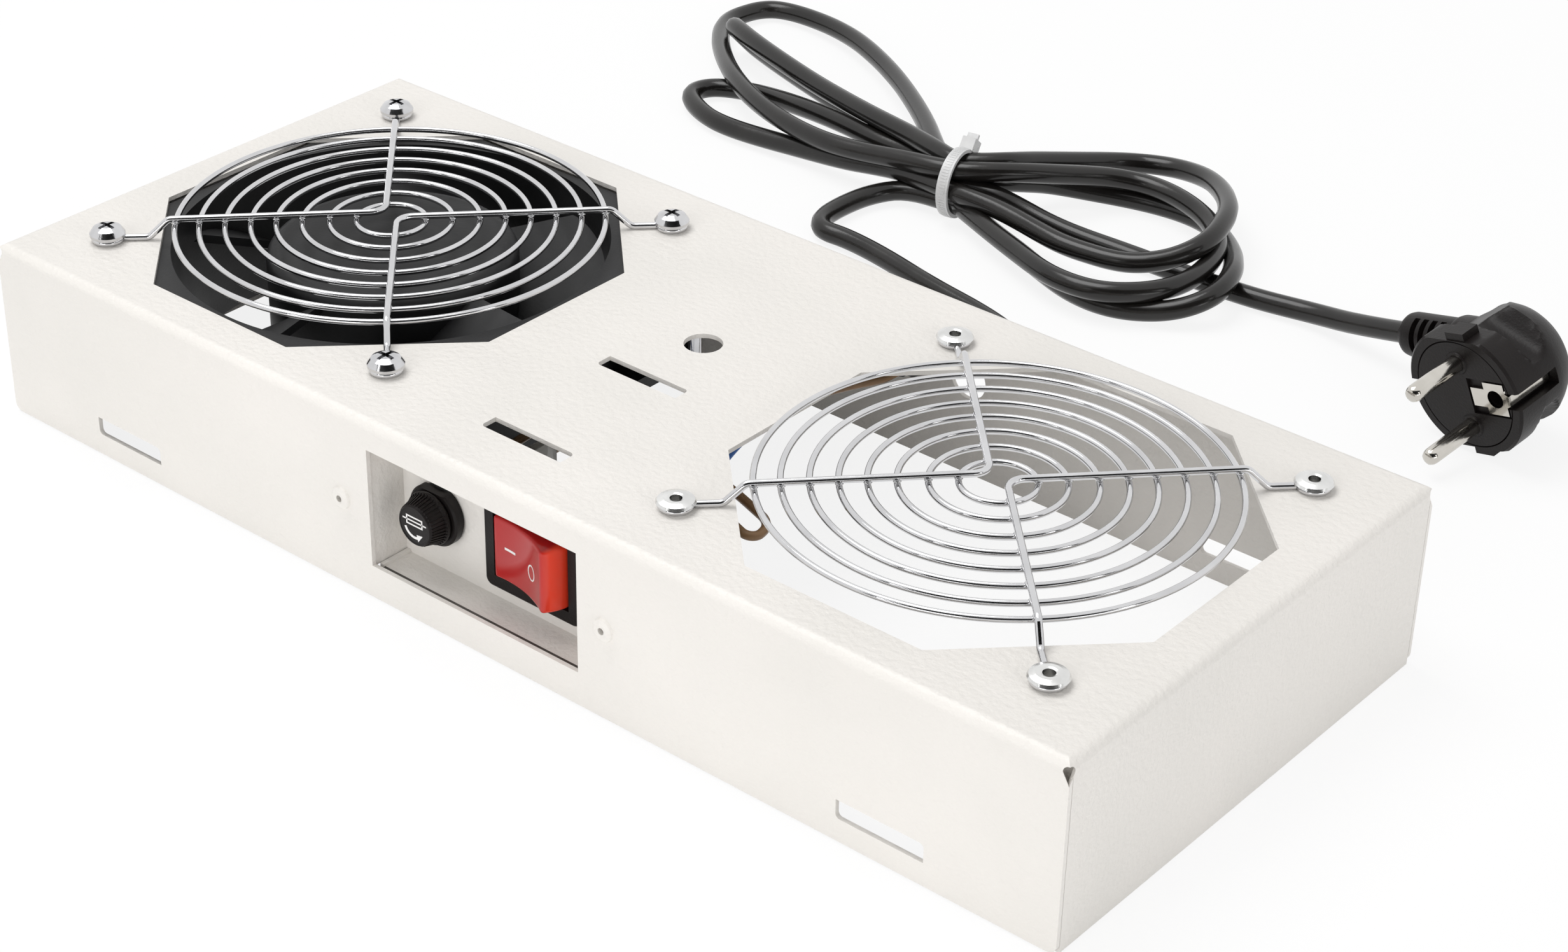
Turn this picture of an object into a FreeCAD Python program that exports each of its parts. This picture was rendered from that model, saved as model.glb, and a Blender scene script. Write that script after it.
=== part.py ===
import FreeCAD, Part
import math
import os

V = FreeCAD.Vector

# Hood: one steel sheet folded down on four sides and left open underneath
hood_length = 346.0
hood_depth = 146.0
hood_height = 50.0
sheet = 1.2
bend_outer = 2.5
flange_corner = 2.5
seam_gap = 0.15
relief_hole = 2.6
relief_drop = 2.4
relief_tail = 2.0

# Air bays: octagonal openings with a square of fixing holes round each
bay_pitch = 200.0
opening_across = 121.0
opening_side = 50.0
fix_pitch = 105.0
screw_hole = 4.4
rivet_hole = 4.9

# Rectangular slots that fasten the hood, and the plain holes in it
slot_pitch = 250.0
slot_length = 24.5
slot_width = 5.0
slot_rise = 8.7
slot_corner = 1.3
top_slot_length = 26.0
top_slot_x = 0.9
top_slot_rows = (-12.6, -53.0)
top_hole = 10.0
top_hole_x = 0.8
top_hole_y = 10.2
spare_hole = 11.0
spare_hole_x = 38.6
spare_hole_rise = 27.8

# Finger guards of welded wire
guard_rings = (56.5, 50.2, 43.5, 36.8, 30.2, 23.4, 16.2, 9.2)
ring_wire = 1.6
spoke_wire = 1.8
guard_lift = 4.2
weld_gap = 0.02
spoke_elbow = 4.5
spoke_apart = 4.4
spoke_drop_start = 58.2
spoke_drop_end = 63.4
spoke_step_radius = 2.6
eye_clearance = 0.1

# Screws that hold the fan, and the blind rivets that hold the other guard
screw_thread = 4.0
screw_head = 9.4
screw_head_height = 3.0
screw_recess = 1.6
screw_length = 16.0
nut_across = 7.0
nut_height = 3.2
rivet_shank = 4.8
rivet_head = 9.6
rivet_head_height = 1.1
rivet_mandrel = 3.0
rivet_bulb = 7.2
rivet_bulb_height = 4.0
shank_clearance = 0.05

# Fan: square frame, outer-rotor motor and moulded impeller
fan_size = 119.0
fan_depth = 38.0
fan_corner = 6.0
fan_flange = 4.0
fan_bore = 116.0
fan_wall = 1.5
tip_gap = 1.5
hub_radius = 33.5
hub_wall = 2.0
hub_top_wall = 2.5
hub_floor_gap = 6.2
hub_round = 4.0
hub_sink = 0.8
blade_count = 5
blade_first = 67.0
blade_wrap = 48.0
blade_thick = 2.4
blade_camber = 3.0
blade_inset = 4.0
blade_bottom = 8.0
blade_round = 7.0
cup_clearance = 0.05
cup_top = 1.5
cup_floor_gap = 6.7
air_gap = 0.5
cage_thick = 4.4
motor_base = 4.0
strut_width = 7.0
strut_height = 5.0
strut_count = 4
bearing_bore = 3.0
bearing_outer = 10.0
bearing_width = 4.0
bearing_low = 6.0
bearing_lip = 1.0
bearing_clearance = 0.05
tube_wall = 2.0
tube_gap = 1.2
shaft_low = 4.6
shaft_boss = 5.0
shaft_boss_drop = 4.0
clip_thick = 0.5
clip_gap = 0.3
core_low = 10.0
core_top_gap = 4.0
core_ring = 4.0
pole_count = 4
pole_width = 8.0
shoe_depth = 4.5
shoe_angle = 62.0
coil_side = 3.6
coil_overhang = 3.0
terminal_width = 2.8
terminal_thick = 0.5
terminal_block = (6.0, 18.0, 10.0)
fan_blade = 6.0

# Control bracket: folded pan riveted behind the front wall
control_x = 0.7
control_width = 69.0
control_height = 33.0
control_rise = 25.7
recess_depth = 12.0
bracket_sheet = 1.0
pan_side_gap = 0.3
pan_shelf_gap = 1.2
shelf_front_gap = 1.3
pan_notch = 0.5
bracket_flange = 17.0
bracket_flange_height = 26.0
bracket_rivet_pitch = 87.0
bracket_rivet_rise = 24.9
bracket_rivet_hole = 4.1
bracket_rivet_head = 6.2

# Rocker switch
switch_x = 10.7
switch_rise = 24.7
bezel_length = 31.0
bezel_height = 25.5
bezel_thick = 2.0
bezel_round = 0.8
bezel_corner = 2.2
switch_body_length = 27.6
switch_body_height = 21.6
switch_depth = 22.0
cutout_gap = 0.15
latch_height = 1.2
latch_length = 6.0
rocker_height = 17.2
rocker_tip = 10.1
rocker_tip_out = 5.9
rocker_dish = 1.7
rocker_skirt = 4.0
rocker_skirt_half = 7.6
rocker_wall = 1.3
rocker_tilt = 13.0
rocker_end_angle = 8.0
rocker_gap = 0.5
pivot_back = 2.4
pivot_radius = 1.5
pivot_length = 1.2
pivot_clearance = 0.05
lamp_radius = 1.6
lamp_length = 9.0
lamp_depth = 3.6
blade_terminal = (0.8, 8.0, 6.3)
switch_terminal_x = 7.0
switch_terminal_z = 5.6

# Fuse holder with a bayonet cap
fuse_x = -21.0
fuse_rise = 24.7
barrel_radius = 5.9
barrel_bore = 5.1
barrel_length = 28.0
barrel_floor = 3.0
barrel_flange = 7.8
barrel_flange_thick = 2.5
seal_thick = 0.8
panel_gap = 0.15
fuse_nut_across = 14.0
fuse_nut_height = 4.0
cap_radius = 6.2
cap_face = 9.4
cap_gap = 0.3
cap_spigot_gap = 0.15
cap_spigot_length = 5.6
cap_front_wall = 4.0
knurl_count = 24
knurl_depth = 0.35
carrier_wall = 0.75
carrier_gap = 0.08
carrier_length = 11.5
link_radius = 2.5
link_length = 20.0
link_cap = 5.0
link_gap = 0.05
contact_gap = 0.3

# Earth point under the top sheet
earth_x = -14.0
earth_y = 24.0
stud_thread = 4.0
stud_length = 12.0
ring_tongue = 0.8
ring_tongue_outer = 4.4

# Cord gland, mains cord, cable tie and plug
gland_x = 24.0
gland_rise = 31.0
gland_hole = 11.0
gland_flange = 7.0
gland_flange_thick = 2.5
gland_sleeve = 10.0
gland_tip = 4.6
gland_inner = 8.0
gland_barb = 0.4
cord_diameter = 6.2
core_wire = 2.4
connector_grip = 5.0
connector_back = 3.0
wire_end_gap = 0.2
connector_thick = 2.6
connector_wall = 0.6
left_lobe_height = 15.0
right_lobe_height = 19.5
hank_floor_gap = 0.2
tie_centre = V(-55.2, 191.2, 0)
bundle_turn = 10.0
bundle_radius = 9.5
bundle_length = 46.0
tie_thick = 1.1
tie_width = 3.6
tie_gap = 0.1
tie_head = (4.4, 5.0, 4.0)
tie_stub = 1.8
tie_head_lean = 40.0
plug_face = V(133.6, 167.8, 19.6)
plug_turn = FreeCAD.Rotation(-12.7, -17.3, 11.4)
plug_radius = 19.2
plug_rim = 9.0
plug_back = 29.0
plug_back_radius = 13.5
plug_boss_radius = 8.0
plug_boss_reach = 25.0
plug_cord_back = 20.0
plug_key = 1.2
pin_radius = 2.4
pin_length = 19.0
pin_pitch = 19.0
pin_gap = 0.02
pin_root = 8.0
clip_width = 6.0
clip_sheet = 1.0
clip_reach = 12.0
clip_inset = 1.6
clip_sink = 0.6
clip_turn = 5.0
relief_length = 20.0
relief_wide = 6.4
relief_narrow = 4.5

# Cord routes: from inside the gland to the hank, and from the hank to the plug
floor_line = cord_diameter / 2
lead_points = [
    V(gland_x, hood_depth / 2 - gland_inner - 4, gland_rise),
    V(gland_x, hood_depth / 2 + gland_sleeve + 9, gland_rise),
    V(23.5, 107, 19),
    V(20, 121, 7.6),
    V(10, 134, floor_line + 0.6),
    V(-5, 140.2, floor_line),
    V(-28, 144, floor_line),
    V(-50, 149.6, floor_line),
    V(-66.5, 151.9, floor_line),
    V(-75.3, 150.9, floor_line),
    V(-80.3, 156.8, floor_line),
    V(-81, 168, floor_line),
    V(-79.3, 179.5, floor_line + 0.2),
    V(-72.5, 188.5, floor_line + 1.1),
]
tail_points = [
    V(36.5, 200.2, floor_line),
    V(50, 201.2, floor_line),
    V(65, 203.4, floor_line + 0.7),
]
tail_straight = 12.0
left_lobe = [(-68, 204), (-95, 232), (-124, 254), (-148, 268), (-169, 277), (-187, 278), (-199, 272)]
left_lobe += [(-203, 258), (-196, 236), (-178, 210), (-176, 198), (-162, 187), (-148, 183), (-120, 182)]
left_lobe += [(-68, 182)]
right_lobe = [(-52, 206), (-47, 221), (-42, 235), (-35, 246), (-28, 251.5), (-18, 254.5), (-2, 251)]
right_lobe += [(11, 243), (23, 228.5), (34, 216), (42, 203), (45, 191), (42, 182), (31, 171), (17, 164.5)]
right_lobe += [(4, 165), (-15, 171), (-33, 178.5), (-46, 181)]

# Places that follow from the sizes above
half_length = hood_length / 2
half_depth = hood_depth / 2
front_face = -half_depth
front_inner = front_face + sheet
plate_under = hood_height - sheet
bend_inner = bend_outer - sheet
fan_x = -bay_pitch / 2
vent_x = bay_pitch / 2
hub_height = fan_depth - hub_sink - motor_base - hub_floor_gap
blade_top = fan_depth - blade_inset
cup_height = fan_depth - hub_sink - hub_top_wall - motor_base - cup_floor_gap
tube_top = fan_depth - hub_sink - hub_top_wall - cup_top - shaft_boss_drop - tube_gap
bearing_high = tube_top - bearing_lip - bearing_width
core_high = tube_top - core_top_gap
fan_top = plate_under
fan_bottom = fan_top - fan_depth
guard_ring_z = hood_height + guard_lift
spoke_z = guard_ring_z + ring_wire / 2 + weld_gap + spoke_wire / 2
eye_radius = rivet_shank / 2 + spoke_wire / 2 + eye_clearance
head_seat = hood_height + spoke_wire + weld_gap
pan_front = front_face + recess_depth
pan_back = pan_front + bracket_sheet
pivot_y = pan_front - bezel_thick + pivot_back
bearing_seat = bearing_outer / 2 + 0.02
tube_outer = bearing_seat + tube_wall
cup_outer = hub_radius - hub_wall - cup_clearance
cage_inner = cup_outer - cage_thick
core_outer = cage_inner - air_gap
cup_z = fan_top - hub_sink - hub_top_wall
OUT = V(0, -1, 0)
IN = V(0, 1, 0)
UP = V(0, 0, 1)


def block(x, y, z):
    return Part.makeBox(x[1] - x[0], y[1] - y[0], z[1] - z[0], V(x[0], y[0], z[0]))


def span(middle, size):
    return (middle - size / 2, middle + size / 2)


def rod(radius, start, end):
    axis = end.sub(start)
    return Part.makeCylinder(radius, axis.Length, start, axis)


def tube(outer, inner, start, end):
    return rod(outer, start, end).cut(rod(inner, start, end))


def prism(points, rise):
    outline = Part.makePolygon(points + points[:1])
    return Part.Face(outline).extrude(rise)


def lathe(profile, base, axis):
    outline = [V(r, 0, h) for r, h in profile]
    solid = Part.Face(Part.makePolygon(outline + outline[:1])).revolve(V(0, 0, 0), UP, 360)
    solid.Placement = FreeCAD.Placement(base, FreeCAD.Rotation(UP, axis))
    return solid


def hexagon_nut(across, bore, base, axis, height):
    corner = across / math.sqrt(3)
    corners = []
    for k in range(6):
        corners.append(V(corner * math.cos(math.pi * k / 3), corner * math.sin(math.pi * k / 3), 0))
    nut = prism(corners, V(0, 0, height)).cut(Part.makeCylinder(bore, height))
    nut.Placement = FreeCAD.Placement(base, FreeCAD.Rotation(UP, axis))
    return nut


def joined(shapes):
    return shapes[0].multiFuse(shapes[1:]).removeSplitter()


def save(node, *shapes):
    whole = shapes[0] if len(shapes) == 1 else Part.makeCompound(list(shapes))
    whole.exportStep("parts/" + node + ".step")


def unit(vector):
    return vector.multiply(1 / vector.Length)


def bend_radius_for_cord(run, turn):
    return 0.45 * run / math.tan(turn / 2)


def route(points, bend=None):
    """Straight runs joined by tangent arcs of one radius, or as wide as the runs allow."""
    edges = []
    radii = []
    here = points[0]
    for before, corner, after in zip(points, points[1:], points[2:]):
        arriving = unit(corner.sub(before))
        leaving = unit(after.sub(corner))
        turn = arriving.getAngle(leaving)
        shorter = min(corner.sub(before).Length, after.sub(corner).Length)
        radius = bend or bend_radius_for_cord(shorter, turn)
        reach = radius * math.tan(turn / 2)
        start = corner.sub(V(arriving).multiply(reach))
        end = corner.add(V(leaving).multiply(reach))
        inward = unit(leaving.sub(arriving))
        middle = corner.add(inward.multiply(radius / math.cos(turn / 2) - radius))
        edges.append(Part.LineSegment(here, start).toShape())
        edges.append(Part.Arc(start, middle, end).toShape())
        radii.append(radius)
        here = end
    edges.append(Part.LineSegment(here, points[-1]).toShape())
    return Part.Wire(edges), radii


def swept(points, diameter, bend=None, report=None):
    path, radii = route(points, bend)
    first = points[1].sub(points[0])
    profile = Part.Wire(Part.Circle(points[0], first, diameter / 2).toShape())
    solid = path.makePipeShell([profile], True, False)
    if report:
        section = math.pi * diameter ** 2 / 4
        print(report, "length", round(path.Length, 1), "radii", [round(r, 1) for r in radii],
              "volume over section times length", round(solid.Volume / (section * path.Length), 4))
    return solid


def corners_of(middle_x, pitch):
    return [(middle_x + sx * pitch / 2, sy * pitch / 2) for sx in (-1, 1) for sy in (-1, 1)]


def octagon(middle_x):
    a = opening_across / 2
    b = opening_side / 2
    ring = [(a, -b), (a, b), (b, a), (-b, a), (-a, b), (-a, -b), (-b, -a), (b, -a)]
    return [V(middle_x + x, y, plate_under - 1) for x, y in ring]


def slot_cut(x, y, z, across):
    """Rectangular punch with two opposite corners rounded; across is the axis it passes through."""
    punch = block(x, y, z)
    along = {"Y": V(0, 1, 0), "Z": V(0, 0, 1)}[across]
    low = (x[0], (z if across == "Y" else y)[0])
    high = (x[1], (z if across == "Y" else y)[1])
    edges = []
    for edge in punch.Edges:
        if abs(abs(edge.tangentAt(edge.FirstParameter).dot(along)) - 1) > 1e-6:
            continue
        centre = edge.CenterOfMass
        place = (centre.x, centre.z if across == "Y" else centre.y)
        if math.dist(place, low) < 1e-6 or math.dist(place, high) < 1e-6:
            edges.append(edge)
    return punch.makeFillet(slot_corner, edges)


def hood():
    shell = block((-half_length, half_length), (-half_depth, half_depth), (0, hood_height))
    top = [e for e in shell.Edges if min(v.Z for v in e.Vertexes) > hood_height - 1e-6]
    shell = shell.makeFillet(bend_outer, top)
    inside_x = (-half_length + sheet, half_length - sheet)
    inside_y = (-half_depth + sheet, half_depth - sheet)
    hollow = block(inside_x, inside_y, (-1, plate_under))
    roof = [e for e in hollow.Edges if min(v.Z for v in e.Vertexes) > plate_under - 1e-6]
    shell = shell.cut(hollow.makeFillet(bend_inner, roof))
    through_plate = (plate_under - 1, hood_height + 1)
    through_front = (front_face - 1, front_inner + 1)
    through_back = (half_depth - sheet - 1, half_depth + 1)
    cuts = [prism(octagon(x), V(0, 0, sheet + 2)) for x in (fan_x, vent_x)]
    for middle_x, hole in ((fan_x, screw_hole), (vent_x, rivet_hole)):
        for x, y in corners_of(middle_x, fix_pitch):
            cuts.append(rod(hole / 2, V(x, y, through_plate[0]), V(x, y, through_plate[1])))
    for wall in (through_front, through_back):
        for side in (-1, 1):
            x = span(side * slot_pitch / 2, slot_length)
            cuts.append(slot_cut(x, wall, span(slot_rise, slot_width), "Y"))
    for y in top_slot_rows:
        x = span(top_slot_x, top_slot_length)
        cuts.append(slot_cut(x, span(y, slot_width), through_plate, "Z"))
    hole_low = V(top_hole_x, top_hole_y, through_plate[0])
    hole_high = V(top_hole_x, top_hole_y, through_plate[1])
    cuts.append(rod(top_hole / 2, hole_low, hole_high))
    for x, z, hole in ((spare_hole_x, spare_hole_rise, spare_hole), (gland_x, gland_rise, gland_hole)):
        cuts.append(rod(hole / 2, V(x, through_back[0], z), V(x, through_back[1], z)))
    cuts.append(block(span(control_x, control_width), through_front, span(control_rise, control_height)))
    for side in (-1, 1):
        x = side * bracket_rivet_pitch / 2
        start = V(x, through_front[0], bracket_rivet_rise)
        cuts.append(rod(bracket_rivet_hole / 2, start, V(x, through_front[1], bracket_rivet_rise)))
    for sx in (-1, 1):
        for sy in (-1, 1):
            cuts.append(corner_relief(sx, sy))
            outside = sorted((sx * (half_length - sheet - 0.01), sx * (half_length + 1)))
            behind = sorted((sy * (half_depth - sheet), sy * (half_depth - sheet - seam_gap)))
            cuts.append(block(outside, behind, (-1, hood_height - relief_drop)))
    shell = shell.cut(Part.makeCompound(cuts))
    feet = []
    for edge in shell.Edges:
        centre = edge.CenterOfMass
        at_end = abs(abs(centre.x) - half_length) < 1e-3 and abs(centre.z) < 1e-3
        if at_end and edge.Length < sheet + 1e-3:
            feet.append(edge)
    return shell.makeFillet(flange_corner, feet)


def corner_relief(sx, sy):
    """Drop-shaped relief where two bends meet, cut along the corner's diagonal."""
    radius = relief_hole / 2
    middle = hood_height - relief_drop
    outward = V(sx, sy, 0)
    start = V(sx * (half_length + 1), sy * (half_depth + 1), middle)
    end = start.sub(V(outward).multiply(bend_outer + 2))
    sideways = unit(V(sy, -sx, 0)).multiply(radius * 0.87)
    drop = V(0, 0, -radius * 0.5)
    tip = V(0, 0, -radius - relief_tail)
    wedge = [start.add(sideways).add(drop), start.sub(sideways).add(drop), start.add(tip)]
    return joined([rod(radius, start, end), prism(wedge, end.sub(start))])


def control_bracket():
    side = control_width / 2 + pan_side_gap
    low = control_rise - control_height / 2 - pan_shelf_gap
    high = control_rise + control_height / 2 + pan_shelf_gap
    shelf_front = front_inner + shelf_front_gap
    plate_x = span(control_x, 2 * (side + bracket_sheet))
    parts = [block(plate_x, (pan_front, pan_back), (low - bracket_sheet, high + bracket_sheet))]
    for z in ((low - bracket_sheet, low), (high, high + bracket_sheet)):
        parts.append(block(span(control_x, 2 * (side - pan_notch)), (shelf_front, pan_back), z))
    for sx in (-1, 1):
        inner = control_x + sx * side
        wing = sorted((inner, inner + sx * bracket_sheet))
        flange = sorted((inner, inner + sx * bracket_flange))
        parts.append(block(wing, (front_inner, pan_back), (low + pan_notch, high - pan_notch)))
        height = span(bracket_rivet_rise, bracket_flange_height)
        parts.append(block(flange, (front_inner, front_inner + bracket_sheet), height))
    pan = joined(parts)
    cuts = []
    for sx in (-1, 1):
        x = sx * bracket_rivet_pitch / 2
        start = V(x, front_face, bracket_rivet_rise)
        cuts.append(rod(bracket_rivet_hole / 2, start, V(x, pan_front, bracket_rivet_rise)))
    cuts.append(rod(barrel_radius + panel_gap, fuse_base(-1), fuse_base(bracket_sheet + 1)))
    hole_x = span(switch_x, switch_body_length + 2 * cutout_gap)
    hole_z = span(switch_rise, switch_body_height + 2 * cutout_gap)
    cuts.append(block(hole_x, (pan_front - 1, pan_back + 1), hole_z))
    return pan.cut(Part.makeCompound(cuts))


def blind_rivet(base, axis, head, head_height, shank, mandrel, grip, bulb, bulb_height):
    """Hollow rivet: low dome above the seat, shank through the grip, swollen bulb behind it."""
    profile = [
        (mandrel / 2, head_height * 0.8), (mandrel / 2 + 0.5, head_height), (head * 0.32, head_height),
        (head * 0.46, head_height * 0.55), (head / 2, 0), (shank / 2, 0), (shank / 2, -grip),
        (bulb / 2, -grip), (bulb / 2, -grip - bulb_height * 0.6), (shank / 2, -grip - bulb_height),
        (mandrel / 2, -grip - bulb_height),
    ]
    return lathe(profile, base, axis)


def bracket_rivets():
    grip = sheet + bracket_sheet
    shank = bracket_rivet_hole - 2 * shank_clearance
    for sx in (-1, 1):
        seat = V(sx * bracket_rivet_pitch / 2, front_face, bracket_rivet_rise)
        yield blind_rivet(seat, OUT, bracket_rivet_head, 1.2, shank, 1.8, grip, 5.6, 3.0)


def guard_rivets():
    shank = rivet_hole - 2 * shank_clearance
    grip = head_seat - plate_under
    sizes = (rivet_head, rivet_head_height, shank, rivet_mandrel, grip, rivet_bulb, rivet_bulb_height)
    for x, y in corners_of(vent_x, fix_pitch):
        yield blind_rivet(V(x, y, head_seat), UP, *sizes)


def fan_screws():
    shank = screw_thread / 2
    edge = screw_head / 2
    for x, y in corners_of(fan_x, fix_pitch):
        profile = [(0, screw_head_height), (edge * 0.45, screw_head_height * 0.95)]
        profile += [(edge * 0.8, screw_head_height * 0.7), (edge, screw_head_height * 0.25), (edge, 0)]
        profile += [(shank, 0), (shank, -screw_length), (0, -screw_length)]
        screw = lathe(profile, V(x, y, head_seat), UP)
        top = head_seat + screw_head_height
        deep = (top - screw_recess, top + 1)
        arms = [block(span(x, 5.0), span(y, 1.1), deep), block(span(x, 1.1), span(y, 5.0), deep)]
        yield screw.cut(joined(arms))


def fan_nuts():
    bore = screw_thread / 2 + shank_clearance
    for x, y in corners_of(fan_x, fix_pitch):
        base = V(x, y, fan_top - fan_flange - nut_height)
        yield hexagon_nut(nut_across, bore, base, UP, nut_height)


def finger_guard(middle_x):
    solids = [Part.makeTorus(r, ring_wire / 2, V(middle_x, 0, guard_ring_z), UP) for r in guard_rings]
    low = hood_height + spoke_wire / 2
    corner = fix_pitch / math.sqrt(2)
    diagonal = 1 / math.sqrt(2)
    end = corner - eye_radius - spoke_wire / 2 - weld_gap
    for sx in (-1, 1):
        def along(distance, sy, z):
            return V(middle_x + sx * distance * diagonal, sy * distance * diagonal, z)
        points = [along(end, 1, low), along(spoke_drop_end, 1, low), along(spoke_drop_start, 1, spoke_z)]
        points.append(V(middle_x + sx * spoke_apart / 2, 0, spoke_z))
        points += [along(spoke_drop_start, -1, spoke_z), along(spoke_drop_end, -1, low), along(end, -1, low)]
        solids.append(swept_spoke(points))
        for sy in (-1, 1):
            centre = V(middle_x + sx * fix_pitch / 2, sy * fix_pitch / 2, low)
            solids.append(Part.makeTorus(eye_radius, spoke_wire / 2, centre, UP))
    return solids


def halfway(start, end):
    return start.add(end).multiply(0.5)


def swept_spoke(points):
    """Spoke wire: small bends where it steps down, a wider elbow at the middle."""
    first = points[1].sub(points[0])
    profile = Part.Wire(Part.Circle(points[0], first, spoke_wire / 2).toShape())
    rise = halfway(points[2], points[3])
    fall = halfway(points[3], points[4])
    start, _ = route(points[:3] + [rise], spoke_step_radius)
    middle, _ = route([rise, points[3], fall], spoke_elbow)
    finish, _ = route([fall] + points[4:], spoke_step_radius)
    path = Part.Wire(start.Edges + middle.Edges + finish.Edges)
    return path.makePipeShell([profile], True, False)


def fan_frame():
    square = block(span(fan_x, fan_size), span(0, fan_size), (fan_bottom, fan_top))
    upright = [e for e in square.Edges if abs(e.tangentAt(e.FirstParameter).z) > 0.99]
    square = square.makeFillet(fan_corner, upright)
    bore = rod(fan_bore / 2, V(fan_x, 0, fan_bottom), V(fan_x, 0, fan_top))
    between_flanges = (fan_bottom + fan_flange, fan_top - fan_flange)
    waist = block(span(fan_x, fan_size + 2), span(0, fan_size + 2), between_flanges)
    sleeve = rod(fan_bore / 2 + fan_wall, V(fan_x, 0, fan_bottom), V(fan_x, 0, fan_top))
    frame = square.cut(waist.cut(sleeve)).cut(bore)
    centre = V(fan_x, 0, fan_bottom)
    base = rod(hub_radius, centre, V(fan_x, 0, fan_bottom + motor_base))
    parts = [frame, base]
    parts.append(rod(tube_outer, centre, V(fan_x, 0, fan_bottom + tube_top)))
    reach = fan_bore / 2 + fan_wall / 2
    for k in range(strut_count):
        strut = block((fan_x, fan_x + reach), span(0, strut_width), (fan_bottom, fan_bottom + strut_height))
        strut.rotate(centre, UP, 45 + 360 / strut_count * k)
        parts.append(strut.cut(rod(tube_outer, centre, V(fan_x, 0, fan_top))))
    whole = joined(parts)
    cuts = [rod(bearing_seat, V(fan_x, 0, fan_bottom + motor_base), V(fan_x, 0, fan_top))]
    for x, y in corners_of(fan_x, fix_pitch):
        cuts.append(rod(screw_hole / 2, V(x, y, fan_bottom - 1), V(x, y, fan_top + 1)))
    return whole.cut(Part.makeCompound(cuts))


def blade_section(distance):
    """Flat outline of one blade, square to its middle line, from leading to trailing edge."""
    upper = []
    lower = []
    steps = 6
    for k in range(steps + 1):
        share = k / steps
        aside = distance * math.tan(math.radians(blade_wrap * (0.5 - share)))
        bulge = blade_camber * math.sin(math.pi * share)
        z = fan_bottom + blade_top + (blade_bottom - blade_top) * share + bulge
        upper.append(V(fan_x + distance, aside, z))
        lower.append(V(fan_x + distance, aside, z - blade_thick))
    top_curve = Part.BSplineCurve()
    top_curve.interpolate(upper)
    under_curve = Part.BSplineCurve()
    under_curve.interpolate(lower)
    edges = [top_curve.toShape(), Part.LineSegment(upper[-1], lower[-1]).toShape(), under_curve.toShape()]
    edges.append(Part.LineSegment(lower[0], upper[0]).toShape())
    return Part.Wire(Part.__sortEdges__(edges))


def impeller():
    hub_top = fan_top - hub_sink
    hub = rod(hub_radius, V(fan_x, 0, hub_top - hub_height), V(fan_x, 0, hub_top))
    rim = [e for e in hub.Edges if e.Closed and e.CenterOfMass.z > hub_top - 1e-6]
    hub = hub.makeFillet(hub_round, rim)
    hollow_low = V(fan_x, 0, hub_top - hub_height - 1)
    hollow = rod(hub_radius - hub_wall, hollow_low, V(fan_x, 0, hub_top - hub_top_wall))
    tip = fan_bore / 2 - tip_gap
    sweep_low = V(fan_x, 0, fan_bottom + blade_bottom - blade_thick)
    sweep_high = V(fan_x, 0, fan_bottom + blade_top + 0.5)
    envelope = rod(tip, sweep_low, sweep_high)
    envelope = envelope.makeFillet(blade_round, [e for e in envelope.Edges if e.Closed])
    root = hub_radius * math.cos(math.radians(blade_wrap / 2)) - 1
    blade = Part.makeLoft([blade_section(root), blade_section(tip + 4)], True, True)
    blade = blade.common(envelope)
    parts = [hub]
    for k in range(blade_count):
        copy = blade.copy()
        copy.rotate(V(fan_x, 0, 0), UP, blade_first - blade_wrap / 2 + 360 / blade_count * k)
        parts.append(copy)
    return joined(parts).cut(hollow)


def rotor_cup():
    shaft = bearing_bore / 2 + 0.01
    low = cup_z - cup_height
    ceiling = cup_z - cup_top
    boss_end = ceiling - shaft_boss_drop
    profile = [(shaft, cup_z), (cup_outer, cup_z), (cup_outer, low), (cage_inner, low)]
    profile += [(cage_inner, ceiling), (shaft_boss, ceiling), (shaft_boss, boss_end), (shaft, boss_end)]
    return lathe(profile, V(fan_x, 0, 0), UP)


def rotor_shaft():
    return rod(bearing_bore / 2, V(fan_x, 0, fan_bottom + shaft_low), V(fan_x, 0, cup_z))


def shaft_clip():
    top = fan_bottom + bearing_low - clip_gap
    return tube(bearing_bore, bearing_bore / 2 + 0.01, V(fan_x, 0, top - clip_thick), V(fan_x, 0, top))


def fan_bearings():
    for low in (bearing_low, bearing_high):
        start = V(fan_x, 0, fan_bottom + low)
        end = V(fan_x, 0, fan_bottom + low + bearing_width)
        yield tube(bearing_outer / 2, bearing_bore / 2 + bearing_clearance, start, end)


def stator_core():
    low = V(fan_x, 0, fan_bottom + core_low)
    high = V(fan_x, 0, fan_bottom + core_high)
    yoke = tube(tube_outer + 0.05 + core_ring, tube_outer + 0.05, low, high)
    shoes = tube(core_outer, core_outer - shoe_depth, low, high)
    slots = []
    gap_angle = 360 / pole_count - shoe_angle
    gap_half = core_outer * math.tan(math.radians(gap_angle / 2))
    poles = []
    for k in range(pole_count):
        turn = 360 / pole_count * k
        far = fan_x + core_outer
        gap = prism([low, V(far, -gap_half, low.z), V(far, gap_half, low.z)], high.sub(low))
        gap.rotate(low, UP, turn + 180 / pole_count)
        slots.append(gap)
        pole_x = (fan_x + tube_outer + core_ring / 2, fan_x + core_outer - shoe_depth / 2)
        pole = block(pole_x, span(0, pole_width), (low.z, high.z))
        pole.rotate(low, UP, turn)
        poles.append(pole)
    return joined([yoke, shoes.cut(Part.makeCompound(slots))] + poles)


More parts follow.
